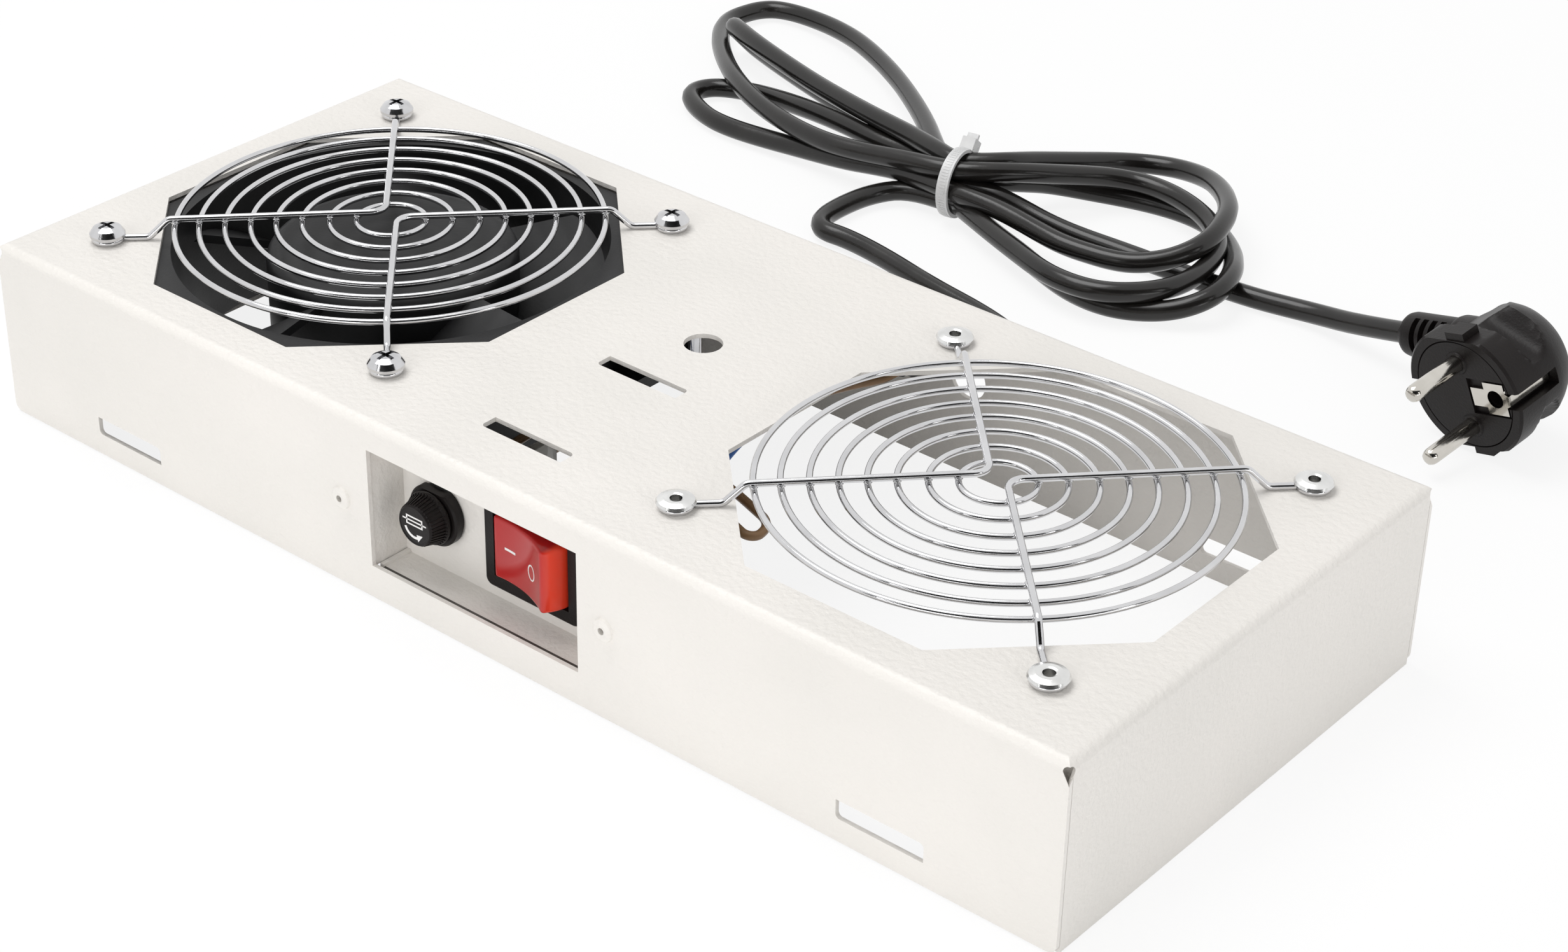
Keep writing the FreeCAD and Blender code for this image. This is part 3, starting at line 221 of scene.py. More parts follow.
powder_coat = plain_finish("powder_coat", dark=(0.78, 0.755, 0.715), light=(0.83, 0.80, 0.76),
                           rough=(0.38, 0.48), patch=0.05, texture=0.0016, depth=0.0003)
dress(powder_coat, "hood", "control_bracket", "bracket_rivets")

# Corner fills: paint bridges the folds of the switch pan at its lower corners, and a small sheet tab stands
# across the inside of each hood corner, behind its relief hole. A dark strip under the pan's lower lip is painted
# shade: a painted shadow gap along the joint.
MILLIMETRE = 0.001
PAN_MIDDLE = 0.7
BEAD_ACROSS = (33.3, 34.5)
BEAD_DEPTH = (-70.4, -61.0)
BEAD_RISE = (7.5, 8.8)
INNER_CORNER = (171.75, 71.75)
TAB_REACH = 3.4
TAB_SHEET = 0.8
TAB_RISE = (40.5, 48.7)
LIP_HALF = 33.3
LIP_DEPTH = (-70.7, -69.9)
LIP_RISE = (7.2, 8.1)


def make_piece(name, corners, faces, *materials):
    """A mesh piece at the origin, from corners in millimetres, with its faces outwards."""
    mesh = bpy.data.meshes.new(name)
    mesh.from_pydata([Vector(corner) * MILLIMETRE for corner in corners], [], faces)
    shell = bmesh.new()
    shell.from_mesh(mesh)
    bmesh.ops.recalc_face_normals(shell, faces=shell.faces)
    shell.to_mesh(mesh)
    shell.free()
    for material in materials:
        mesh.materials.append(material)
    piece = bpy.data.objects.new(name, mesh)
    scene.collection.objects.link(piece)
    return piece


def prism(outline, low, high):
    """Corners and faces of an outline raised from low to high along z."""
    count = len(outline)
    corners = [(x, y, low) for x, y in outline] + [(x, y, high) for x, y in outline]
    faces = [tuple(range(count)), tuple(range(count, 2 * count))]
    faces += [(k, (k + 1) % count, count + (k + 1) % count, count + k) for k in range(count)]
    return corners, faces


def box_shape(x_span, y_span, z_span):
    """Corners and faces of a plain block between three spans."""
    (x0, x1), (y0, y1) = x_span, y_span
    return prism([(x0, y0), (x1, y0), (x1, y1), (x0, y1)], *z_span)


def together(*shapes):
    """Several shapes' corners and faces in one list."""
    corners, faces = [], []
    for more_corners, more_faces in shapes:
        faces += [tuple(k + len(corners) for k in face) for face in more_faces]
        corners += more_corners
    return corners, faces


corner_x, corner_y = INNER_CORNER
tab_end = TAB_REACH + TAB_SHEET
tab = [(corner_x, corner_y - TAB_REACH), (corner_x, corner_y - tab_end),
       (corner_x - tab_end, corner_y), (corner_x - TAB_REACH, corner_y)]
fills = []
for right in (-1, 1):
    fills.append(box_shape([PAN_MIDDLE + right * x for x in BEAD_ACROSS], BEAD_DEPTH, BEAD_RISE))
    for back in (-1, 1):
        fills.append(prism([(right * x, back * y) for x, y in tab], *TAB_RISE))
corner_fills = make_piece("corner_fills", *together(*fills), powder_coat)
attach(corner_fills, "tray")

# Painted shadow: a dark strip under the pan's lower lip stands in for the shade in the gap along the joint.
painted_shadow_gap = plain_finish("painted_shadow_gap", dark=(0.05, 0.045, 0.04), light=(0.09, 0.08, 0.07),
                         rough=(0.4, 0.55), patch=0.01, texture=0.0006, depth=0.00003)
lip_span = (PAN_MIDDLE - LIP_HALF, PAN_MIDDLE + LIP_HALF)
pan_lip_shadow_strip = make_piece("pan_lip_shadow_strip", *box_shape(lip_span, LIP_DEPTH, LIP_RISE), painted_shadow_gap)
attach(pan_lip_shadow_strip, "tray")

# Finger guards: steel wire rings resistance-welded to spokes and bright plated.
# The spokes end in eyes under the screw and rivet heads, and each crossing has a small flat weld nub.
RING_RADII = (56.5, 50.2, 43.5, 36.8, 30.2, 23.4, 16.2, 9.2)
GUARD_PLACES = (-100.0, 100.0)
ELBOW = Vector((2.2, 0.0))
ARM_END = Vector((41.15, 41.15))
WELD_LEVEL = 55.0
WELD_WIDTH = 0.0011
WELD_HEIGHT = 0.0006
WELD_ROUNDNESS = 2


def settle(piece):
    """Turns a piece's modifiers into its plain mesh."""
    bpy.context.view_layer.update()
    live = piece.evaluated_get(bpy.context.evaluated_depsgraph_get())
    plain = bpy.data.meshes.new_from_object(live)
    piece.modifiers.clear()
    piece.data = plain


def smooth(piece, degrees):
    """Smooth shading with the edges sharper than this kept crisp."""
    piece.data.shade_smooth()
    piece.data.set_sharp_from_angle(angle=math.radians(degrees))


def start_tree(name, *sockets):
    """A geometry tree with a shape, named inputs and a finish."""
    tree = bpy.data.node_groups.new(name, "GeometryNodeTree")
    inputs = (("Shape", "NodeSocketGeometry"),) + sockets + (("Finish", "NodeSocketMaterial"),)
    for label, kind in inputs:
        tree.interface.new_socket(label, in_out="INPUT", socket_type=kind)
    tree.interface.new_socket("Shape", in_out="OUTPUT", socket_type="NodeSocketGeometry")
    return tree, tree.nodes.new("NodeGroupInput").outputs


def end_tree(tree, given, instances):
    """Makes the instances real and gives them the finish."""
    real = tree.nodes.new("GeometryNodeRealizeInstances")
    paint = tree.nodes.new("GeometryNodeSetMaterial")
    out = tree.nodes.new("NodeGroupOutput")
    tree.links.new(instances, real.inputs["Geometry"])
    tree.links.new(real.outputs["Geometry"], paint.inputs["Geometry"])
    tree.links.new(given["Finish"], paint.inputs["Material"])
    tree.links.new(paint.outputs["Geometry"], out.inputs["Shape"])


def grow(piece, tree, values):
    """Runs a tree on a piece with these inputs and leaves a plain mesh."""
    modifier = piece.modifiers.new(tree.name, "NODES")
    modifier.node_group = tree
    for item in tree.interface.items_tree:
        if item.in_out == "INPUT" and item.name in values:
            modifier[item.identifier] = values[item.name]
    settle(piece)


def crossing(radius, right, back):
    """Where an arm of a spoke crosses a ring, from the guard's middle."""
    start = Vector((ELBOW.x * right, ELBOW.y))
    run = Vector((ARM_END.x * right, ARM_END.y * back)) - start
    along = start.dot(run)
    reach = math.sqrt(along ** 2 - run.dot(run) * (start.dot(start) - radius ** 2))
    return start + run * ((reach - along) / run.dot(run))


bright_plate = plain_finish("bright_plate", dark=(0.60, 0.60, 0.61), light=(0.68, 0.68, 0.69),
                            rough=(0.07, 0.15), patch=0.01, texture=0.002, depth=0.00002, metal=1.0)
dress(bright_plate, "fan_guard", "vent_guard")
weld_tree, given = start_tree("weld_nubs", ("Width", "NodeSocketFloat"), ("Height", "NodeSocketFloat"))
nub = weld_tree.nodes.new("GeometryNodeMeshIcoSphere")
nub.inputs["Radius"].default_value = 1.0
nub.inputs["Subdivisions"].default_value = WELD_ROUNDNESS
flatten = weld_tree.nodes.new("ShaderNodeCombineXYZ")
for axis, size in (("X", "Width"), ("Y", "Width"), ("Z", "Height")):
    weld_tree.links.new(given[size], flatten.inputs[axis])
nubs = weld_tree.nodes.new("GeometryNodeInstanceOnPoints")
weld_tree.links.new(given["Shape"], nubs.inputs["Points"])
weld_tree.links.new(nub.outputs["Mesh"], nubs.inputs["Instance"])
weld_tree.links.new(flatten.outputs[0], nubs.inputs["Scale"])
end_tree(weld_tree, given, nubs.outputs[0])
weld_places = []
for middle in GUARD_PLACES:
    for radius in RING_RADII:
        for right, back in ((1, 1), (1, -1), (-1, 1), (-1, -1)):
            spot = crossing(radius, right, back)
            weld_places.append((middle + spot.x, spot.y, WELD_LEVEL))
guard_welds = make_piece("guard_welds", weld_places, [])
grow(guard_welds, weld_tree, {"Width": WELD_WIDTH, "Height": WELD_HEIGHT, "Finish": bright_plate})
smooth(guard_welds, degrees=60)
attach(guard_welds, "tray")

# Fixings: zinc-plated cross-recess screws and nuts hold the fan, and aluminium blind rivets hold
# the guard of the empty bay.
zinc_plate = plain_finish("zinc_plate", dark=(0.56, 0.56, 0.57), light=(0.66, 0.66, 0.67),
                          rough=(0.08, 0.16), patch=0.004, texture=0.0006, depth=0.00001, metal=1.0)
dress(zinc_plate, "fan_screws", "fan_nuts", "earth_stud", "earth_nut")
rivet_metal = plain_finish("rivet_metal", dark=(0.68, 0.68, 0.67), light=(0.77, 0.77, 0.76),
                           rough=(0.16, 0.28), patch=0.004, texture=0.0007, depth=0.00003, metal=1.0)
dress(rivet_metal, "guard_rivets")

# Fan: a die-cast frame and a moulded impeller, both black, around an outer-rotor motor
# with a laminated core and copper coils. Its supply comes to two brass blades in a black block.
frame_black = plain_finish("frame_black", dark=(0.006, 0.006, 0.0065), light=(0.011, 0.011, 0.0115),
                           rough=(0.45, 0.6), patch=0.02, texture=0.0008, depth=0.00004, gloss=0.35)
dress(frame_black, "fan_frame")
blade_black = plain_finish("blade_black", dark=(0.007, 0.007, 0.0075), light=(0.013, 0.013, 0.0135),
                           rough=(0.4, 0.52), patch=0.02, texture=0.001, depth=0.00003, gloss=0.35)
dress(blade_black, "impeller")
motor_steel = plain_finish("motor_steel", dark=(0.38, 0.38, 0.39), light=(0.52, 0.52, 0.53),
                           rough=(0.28, 0.42), patch=0.006, texture=0.0005, depth=0.00002, metal=1.0)
dress(motor_steel, "rotor_cup", "rotor_shaft", "shaft_clip", "fan_bearings", "stator_core")
copper = plain_finish("copper", dark=(0.55, 0.24, 0.12), light=(0.68, 0.32, 0.17),
                      rough=(0.25, 0.4), patch=0.003, texture=0.0004, depth=0.00006, metal=1.0)
dress(copper, "stator_coils")
moulding_black = plain_finish("moulding_black", dark=(0.0075, 0.0058, 0.0056), light=(0.0115, 0.0092, 0.0088),
                              rough=(0.34, 0.46), patch=0.015, texture=0.0007, depth=0.00005, gloss=0.2)
dress(moulding_black, "fan_terminal_block")
brass = plain_finish("brass", dark=(0.60, 0.44, 0.18), light=(0.72, 0.54, 0.25),
                     rough=(0.22, 0.36), patch=0.005, texture=0.0005, depth=0.00002, metal=1.0)
dress(brass, "fan_terminal_blades")

# Rocker switch: a black bezel and case clipped into the pan, with brass blades, a small lamp and a clear red
# rocker that has round edges, a dished face and the on and off marks printed in white.
PIVOT = Vector((10.7, -60.6, 24.7))
ROCKER_TILT = math.radians(-13.0)
ROCKER_HALF = 8.6
ROCKER_TIP = 10.1
ROCKER_TIP_OUT = 5.9
ROCKER_SKIRT = (7.6, -4.0)
ROCKER_END_ANGLE = -8.0
ROCKER_END_STEPS = 6
ROCKER_DISH = 1.7
DISH_RADIUS = (ROCKER_TIP ** 2 + ROCKER_DISH ** 2) / (2 * ROCKER_DISH)
DISH_STEPS = 10
ROCKER_EDGE = 0.0008
ROCKER_EDGE_STEPS = 3
ROCKER_EDGE_ANGLE = math.radians(35.0)
# Past these x limits the rocker's end wall is painted a brighter orange red: a painted glow of light shining
# through the thin clear wall.
ROCKER_PAINTED_GLOW_SPAN = (0.0190, 0.0206)
ROCKER_DARK = (0.44, 0.012, 0.012)
ROCKER_PAINTED_GLOW_RED = (0.80, 0.055, 0.022)
ROCKER_PATCH = 0.006
ROCKER_ROUGH = (0.09, 0.17)
ROCKER_SCATTER = 0.35
ROCKER_SCATTER_REACH = (0.004, 0.0006, 0.0003)
PRINT_SINK = 0.1
PRINT_RISE = 0.04
ON_MARK = (-6.6, -2.9, 0.9, 0.33)
ON_STEPS = 4
OFF_MARK = (4.2, -0.6, 1.7, 2.2, 0.36)
OFF_STEPS = 32


def rocker_point(along, out, rise):
    """A point of the rocker at rest, from its pivot."""
    cos, sin = math.cos(ROCKER_TILT), math.sin(ROCKER_TILT)
    return PIVOT + Vector((along * cos + out * sin, along * sin - out * cos, rise))


def dish(along):
    """How far out the rocker's dished face is."""
    return ROCKER_TIP_OUT - ROCKER_DISH + DISH_RADIUS - math.sqrt(DISH_RADIUS ** 2 - along ** 2)


def on_rocker(along, rise, lift):
    """A point of the rocker's face, lifted off it."""
    return rocker_point(along, dish(along) + lift, rise)


def on_circle(radius, degrees):
    """A point of a circle, from its middle."""
    return radius * math.cos(math.radians(degrees)), radius * math.sin(math.radians(degrees))


def printed_line(pairs, on_face, closed=False):
    """Corners and faces of a thin printed line, from pairs of edge points carried onto a face."""
    corners = []
    for inner, outer in pairs:
        for lift in (-PRINT_SINK, PRINT_RISE):
            corners += [on_face(*inner, lift), on_face(*outer, lift)]
    faces = []
    count = len(pairs)
    for k in range(count if closed else count - 1):
        a = 4 * k
        b = 4 * ((k + 1) % count)
        faces += [(a, b, b + 1, a + 1), (a + 2, a + 3, b + 3, b + 2),
                  (a, a + 2, b + 2, b), (a + 1, b + 1, b + 3, a + 3)]
    if not closed:
        last = 4 * count - 4
        faces += [(0, 1, 3, 2), (last, last + 2, last + 3, last + 1)]
    return corners, faces


dress(moulding_black, "switch_body")
dress(brass, "switch_terminals")
lamp_glass = plain_finish("lamp_glass", dark=(0.85, 0.55, 0.4), light=(0.9, 0.62, 0.46),
                          rough=(0.08, 0.16), patch=0.004, texture=0.002, depth=0.00001, clear=0.8)
dress(lamp_glass, "switch_lamp")

rocker_red, red_tree, red_shader, red_place = new_finish("rocker_red")
red_axes = red_tree.nodes.new("ShaderNodeSeparateXYZ")
red_tree.links.new(red_place, red_axes.inputs[0])
# Painted glow: the rocker's end wall is coloured a brighter orange red than its face, for light shining through
# the thin wall.
painted_glow_ramp = rescaled(red_tree, red_axes.outputs["X"], ROCKER_PAINTED_GLOW_SPAN, PATTERN_SPAN)
red_tree.links.new(tint(red_tree, painted_glow_ramp, ROCKER_DARK, ROCKER_PAINTED_GLOW_RED), red_shader.inputs["Base Color"])
red_rough = rescaled(red_tree, grain(red_tree, red_place, ROCKER_PATCH), PATTERN_SPAN, ROCKER_ROUGH)
red_tree.links.new(red_rough, red_shader.inputs["Roughness"])
red_shader.inputs["Subsurface Weight"].default_value = ROCKER_SCATTER
red_shader.inputs["Subsurface Radius"].default_value = ROCKER_SCATTER_REACH
red_shader.inputs["Subsurface Scale"].default_value = 1.0

tip_radius = math.hypot(ROCKER_TIP, ROCKER_TIP_OUT)
tip_angle = math.degrees(math.atan2(ROCKER_TIP_OUT, ROCKER_TIP))
end_step = (tip_angle - ROCKER_END_ANGLE) / ROCKER_END_STEPS
right_end = [on_circle(tip_radius, ROCKER_END_ANGLE + end_step * k) for k in range(ROCKER_END_STEPS, -1, -1)]
left_end = [(-along, out) for along, out in right_end[::-1]]
face_steps = [ROCKER_TIP * k / DISH_STEPS for k in range(1 - DISH_STEPS, DISH_STEPS)]
outline = [(along, dish(along)) for along in face_steps]
outline += right_end + [ROCKER_SKIRT, (-ROCKER_SKIRT[0], ROCKER_SKIRT[1])] + left_end
corners, faces = prism(outline, -ROCKER_HALF, ROCKER_HALF)
rocker = make_piece("rocker_cover", [rocker_point(*corner) for corner in corners], faces, rocker_red)
edge = rocker.modifiers.new("edge", "BEVEL")
edge.width = ROCKER_EDGE
edge.segments = ROCKER_EDGE_STEPS
edge.limit_method = "ANGLE"
edge.angle_limit = ROCKER_EDGE_ANGLE
settle(rocker)
smooth(rocker, degrees=40)
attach(rocker, "rocker")
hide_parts("switch_rocker")

print_white = plain_finish("print_white", dark=(0.78, 0.76, 0.75), light=(0.86, 0.85, 0.84),
                           rough=(0.4, 0.5), patch=0.002, texture=0.0004, depth=0.00001)
start, end, rise, half = ON_MARK
on_steps = [start + (end - start) * k / ON_STEPS for k in range(ON_STEPS + 1)]
on_mark = printed_line([((along, rise - half), (along, rise + half)) for along in on_steps], on_rocker)
middle, rise, wide, tall, thick = OFF_MARK
off_rim = []
for k in range(OFF_STEPS):
    cos, sin = on_circle(1.0, 360.0 * k / OFF_STEPS)
    off_rim.append(((middle + (wide - thick) * cos, rise + (tall - thick) * sin),
                    (middle + wide * cos, rise + tall * sin)))
off_mark = printed_line(off_rim, on_rocker, closed=True)
rocker_marks = make_piece("rocker_marks", *together(on_mark, off_mark), print_white)
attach(rocker_marks, "rocker")

# Fuse holder: a black moulded barrel with a flange flat at its top, nutted through the pan over a rubber seal.
# Its bayonet cap is tapered and ribbed for the fingers, has a toothed collar, and carries the glass fuse.
FUSE_PLACE = Matrix.Translation((-0.021, -0.061, 0.0247)) @ Matrix.Rotation(math.radians(90.0), 4, "X")
FLANGE_LEAST = 7.0
FLANGE_FLAT = 6.9
LEAST_LEAN = 0.05
BARREL_PROFILE = [(5.1, 3.3), (7.7, 3.3), (8.2, 2.8), (8.2, 0.8), (5.9, 0.8), (5.9, -28.0), (1.2, -28.0),
                  (1.2, -25.0), (5.1, -25.0)]
CAP_PROFILE = [(4.75, 9.25), (4.9, 9.4), (5.15, 9.4), (5.4, 9.15), (6.25, 5.0), (6.6, 4.85), (7.0, 4.75),
               (7.1, 4.4), (7.0, 3.9), (6.7, 3.6), (4.95, 3.6), (4.95, -2.0)]
CAP_FACE = 9.25
CAP_RIBS = 40
RIB_OUTLINE = [(5.3, 9.0), (5.65, 8.8), (6.55, 5.0), (6.1, 4.9)]
RIB_HALF = 0.21
TOOTH_OUTLINE = [(6.4, 5.1), (6.85, 5.05), (6.95, 4.7), (6.3, 4.7)]
TOOTH_HALF = 0.3
FUSE_SIGN = (2.8, 1.3, 1.2, 0.42)
FUSE_SIGN_LEADS = (4.0, 0.2)
ARROW_RADIUS = 3.3
ARROW_HALF = 0.36
ARROW_HEAD_HALF = 0.95
ARROW_TIP_HALF = 0.03
ARROW_ANGLES = (198, 285, 322)
ARROW_STEPS = 10


def turned(profile, segments, shape=None, hollow=False):
    """Corners and faces of a solid turned round z; shape may change the radius of each corner."""
    corners, faces = [], []
    for radius, along in profile:
        for k in range(segments):
            angle = math.tau * k / segments
            r = shape(radius, along, angle) if shape else radius
            corners.append((r * math.cos(angle), r * math.sin(angle), along))
    rows = len(profile)
    for row in range(rows if hollow else rows - 1):
        for k in range(segments):
            a = row * segments
            b = (row + 1) % rows * segments
            after = (k + 1) % segments
            faces.append((a + k, a + after, b + after, b + k))
    if not hollow:
        faces.append(tuple(range(segments)))
        faces.append(tuple(range((rows - 1) * segments, rows * segments)))
    return corners, faces


def flattened(radius, angle, depth, *sides):
    """A radius held back to flats at this depth, which face these angles in degrees."""
    for side in sides:
        lean = math.cos(angle - math.radians(side))
        if lean > LEAST_LEAN:
            radius = min(radius, depth / lean)
    return radius


def flat_at_top(radius, along, angle):
    """The barrel's section: only its flange is wide enough to reach the flat."""
    return radius if radius < FLANGE_LEAST else flattened(radius, angle, FLANGE_FLAT, 90.0)


def on_cap(x, y, lift):
    """A point of the cap's face, lifted off it."""
    return (x, y, CAP_FACE + lift)


def upright_prism(outline, half):
    """An outline of radius and height, as thick as twice half, standing at angle zero."""
    corners, faces = prism(outline, -half, half)
    return [(r, side, along) for r, along, side in corners], faces


dress(moulding_black, "fuse_nut")
dress(brass, "fuse_carrier", "fuse_terminals")
rubber_black = plain_finish("rubber_black", dark=(0.010, 0.010, 0.010), light=(0.016, 0.016, 0.016),
                            rough=(0.5, 0.62), patch=0.01, texture=0.0006, depth=0.00004, gloss=0.3)
dress(rubber_black, "fuse_seal")
bright_cap = plain_finish("bright_cap", dark=(0.56, 0.535, 0.49), light=(0.65, 0.625, 0.58),
                          rough=(0.1, 0.18), patch=0.006, texture=0.001, depth=0.00001, metal=1.0)
dress(bright_cap, "fuse_end_caps")
clear_glass = plain_finish("clear_glass", dark=(0.93, 0.95, 0.95), light=(0.97, 0.98, 0.98),
                           rough=(0.03, 0.08), patch=0.004, texture=0.002, depth=0.00001, clear=0.95)
dress(clear_glass, "fuse_glass")
barrel_shape = turned(BARREL_PROFILE, segments=96, shape=flat_at_top, hollow=True)
barrel = make_piece("fuse_holder_barrel", *barrel_shape, moulding_black)
barrel.data.transform(FUSE_PLACE)
smooth(barrel, degrees=35)
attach(barrel, "tray")
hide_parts("fuse_barrel")

fuse_knob = make_piece("fuse_knob", *turned(CAP_PROFILE, segments=80), moulding_black)
fuse_knob.data.transform(FUSE_PLACE)
smooth(fuse_knob, degrees=35)
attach(fuse_knob, "fuse_knob")
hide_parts("fuse_cap")

round_tree, given = start_tree("repeat_round", ("Count", "NodeSocketInt"))
spots = round_tree.nodes.new("GeometryNodePoints")
index = round_tree.nodes.new("GeometryNodeInputIndex")
step = round_tree.nodes.new("ShaderNodeMath")
step.operation = "DIVIDE"
step.inputs[0].default_value = math.tau
angle = round_tree.nodes.new("ShaderNodeMath")
angle.operation = "MULTIPLY"
swing = round_tree.nodes.new("ShaderNodeCombineXYZ")
copies = round_tree.nodes.new("GeometryNodeInstanceOnPoints")
for source, target in ((given["Count"], spots.inputs["Count"]), (given["Count"], step.inputs[1]),
                       (index.outputs[0], angle.inputs[0]), (step.outputs[0], angle.inputs[1]),
                       (angle.outputs[0], swing.inputs["Z"]), (spots.outputs[0], copies.inputs["Points"]),
                       (given["Shape"], copies.inputs["Instance"]), (swing.outputs[0], copies.inputs["Rotation"])):
    round_tree.links.new(source, target)
end_tree(round_tree, given, copies.outputs[0])
rib_and_tooth = together(upright_prism(RIB_OUTLINE, RIB_HALF), upright_prism(TOOTH_OUTLINE, TOOTH_HALF))
grip = make_piece("fuse_knob_grip", *rib_and_tooth)
grow(grip, round_tree, {"Count": CAP_RIBS, "Finish": moulding_black})
grip.data.transform(FUSE_PLACE)
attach(grip, "fuse_knob")

wide, tall, rise, thick = FUSE_SIGN
frame_pairs = [((x * (wide - thick), rise + y * (tall - thick)), (x * wide, rise + y * tall)) for x, y in SQUARE]
reach, half = FUSE_SIGN_LEADS
leads = [((x, rise - half), (x, rise + half)) for x in (-reach, reach)]
tail, neck, tip = ARROW_ANGLES
bow = [(tail + (neck - tail) * k / ARROW_STEPS, ARROW_HALF) for k in range(ARROW_STEPS + 1)]
bow += [(neck, ARROW_HEAD_HALF), (tip, ARROW_TIP_HALF)]
arrow = [(on_circle(ARROW_RADIUS - half, degrees), on_circle(ARROW_RADIUS + half, degrees))
         for degrees, half in bow]
signs = together(printed_line(frame_pairs, on_cap, closed=True), printed_line(leads, on_cap),
                 printed_line(arrow, on_cap))
fuse_marks = make_piece("fuse_knob_marks", *signs, print_white)
fuse_marks.data.transform(FUSE_PLACE)
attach(fuse_marks, "fuse_knob")

# Inner wiring: stranded cores in tan, blue and green sleeves with clear push-on connectors,
# and a brass earth tongue under the stud.
dress(brass, "earth_tongue")
live_brown = plain_finish("live_brown", dark=(0.25, 0.14, 0.065), light=(0.31, 0.18, 0.085),
                          rough=(0.35, 0.45), patch=0.008, texture=0.001, depth=0.00002)
dress(live_brown, "live_wires")
neutral_blue = plain_finish("neutral_blue", dark=(0.01, 0.09, 0.36), light=(0.015, 0.12, 0.43),
                            rough=(0.35, 0.45), patch=0.008, texture=0.001, depth=0.00002)
dress(neutral_blue, "neutral_wires")
earth_green = plain_finish("earth_green", dark=(0.05, 0.30, 0.03), light=(0.62, 0.55, 0.02),
                           rough=(0.35, 0.45), patch=0.006, texture=0.001, depth=0.00002)
dress(earth_green, "earth_wire")
clear_nylon = plain_finish("clear_nylon", dark=(0.78, 0.77, 0.73), light=(0.86, 0.85, 0.81),
                           rough=(0.3, 0.42), patch=0.006, texture=0.001, depth=0.00002, clear=0.4)
dress(clear_nylon, "push_connectors")

# Mains cord: a round black sheathed lead, about two metres long, that leaves the back wall through its gland,
# is folded into loose turns under one tie and runs on along the floor to the plug.
CORD_RADIUS = 0.0031
TIE_CENTRE = Vector((-55.2, 191.2, 10.9))
STRAND_PITCH = 6.26
BUNDLE_TURN = math.radians(25.0)
LEAD = [(24, 61, 31), (24, 92, 31), (23.5, 107, 19), (20, 121, 7.6), (10, 134, 3.7), (-5, 140.2, 3.1),
        (-28, 144, 3.1), (-50, 149.6, 3.1), (-66.5, 151.9, 3.1), (-75.3, 150.9, 3.1), (-80.3, 156.8, 3.1),
        (-81, 168, 3.1), (-79.3, 179.5, 3.3), (-72.5, 188.5, 4.2)]
TAIL = [(-42, 194.5, 9.4), (-34.5, 196.5, 7), (-25.5, 197.5, 4.8), (-15, 199, 3.3), (1.5, 200, 3.1),
        (20, 200, 3.1), (40, 201, 3.1), (50, 202.2, 3.1), (65, 204.2, 3.8), (82.3, 199.9, 7.8),
        (111.2, 193.4, 17)]
FRONT_RIGHT_TURN = [(-49, 186.5, 5.8), (-37, 180, 7), (-16.5, 171, 7.6), (-0.5, 164.5, 8.6), (13.5, 164, 9.2),
                    (23, 169.5, 9.3), (30, 179.5, 9.3), (31.5, 193.5, 9.3), (27, 209.5, 9.3), (17, 222, 9.4),
                    (3, 229.5, 9.4), (-11.5, 232, 9.4), (-23.5, 226, 10.6), (-32, 212.5, 13.6),
                    (-41.5, 198.5, 16.2)]
WIDE_LEFT_TURN = [(-72, 187, 14.6), (-86, 186.5, 12.6), (-101.5, 186, 11.4), (-119.5, 189.5, 10.4),
                  (-138.5, 196, 10), (-160, 208.5, 9), (-184.5, 230.5, 5.4), (-198, 248, 3.4),
                  (-199.5, 260, 3.2), (-194.5, 270.5, 3.2), (-177, 271.5, 4), (-152.5, 264.5, 5.4),
                  (-120, 245, 7.4), (-89, 219.5, 10.4), (-69, 200.5, 11.8)]
LOW_RIGHT_TURN = [(-46, 201.5, 10.6), (-39.5, 215, 7.2), (-29.5, 225.5, 4), (-15, 232, 3.1), (0, 234, 3.1),
                  (13, 231, 3.1), (27, 218, 5.2), (38, 201, 8.8), (41.5, 186.5, 8.6), (36, 178, 5.6),
                  (27, 172.5, 3.6), (15.5, 168.5, 3.1), (0, 170, 3.1), (-22, 179, 3.1), (-40, 186, 3.2),
                  (-48, 192, 4)]
NARROW_LEFT_TURN = [(-71, 200.5, 5), (-95, 215.5, 4.4), (-116, 221, 3.4), (-139.5, 228, 3.2),
                    (-162, 235.3, 3.2), (-176, 240.4, 3.2), (-180.6, 241, 4.6), (-183.4, 239, 7.9),
                    (-182.8, 235.5, 11.2), (-178.5, 232.3, 12.7), (-169, 227.5, 13.3), (-153, 221.5, 13.4),
                    (-128, 213.5, 13.4), (-101, 205.5, 14.6), (-81, 200.5, 15.6), (-66, 195.8, 16.4)]
HIGH_RIGHT_TURN = [(-46, 202.5, 16.7), (-42.5, 212.5, 14.6), (-36.5, 229.5, 10.4), (-28.5, 244.5, 7.4),
                   (-14.5, 250, 8), (3, 243.5, 11.4), (19, 227, 15), (26, 212.5, 16), (28, 199.5, 15),
                   (22.5, 190, 12), (13, 183.5, 10.2), (1, 181.5, 9.8), (-10.5, 181, 10), (-25, 183.5, 10.6),
                   (-38, 185, 11.2)]
SHORT_LEFT_TURN = [(-76, 189, 9.2), (-95, 188, 6.6), (-117, 188, 4.5), (-136.5, 187, 3.5), (-151.5, 188, 3.2),
                   (-165, 194, 3.2), (-169.5, 200.5, 3.2), (-166, 208, 3.2), (-152, 212, 3.9),
                   (-129.5, 207, 7.8), (-110, 203.5, 9.4), (-91.5, 200.5, 9.6), (-78, 200, 9.8),
                   (-67.5, 194, 10.2)]
TURNS = [(300, FRONT_RIGHT_TURN), (60, WIDE_LEFT_TURN), (180, LOW_RIGHT_TURN), (240, NARROW_LEFT_TURN),
         (120, HIGH_RIGHT_TURN), (0, SHORT_LEFT_TURN)]


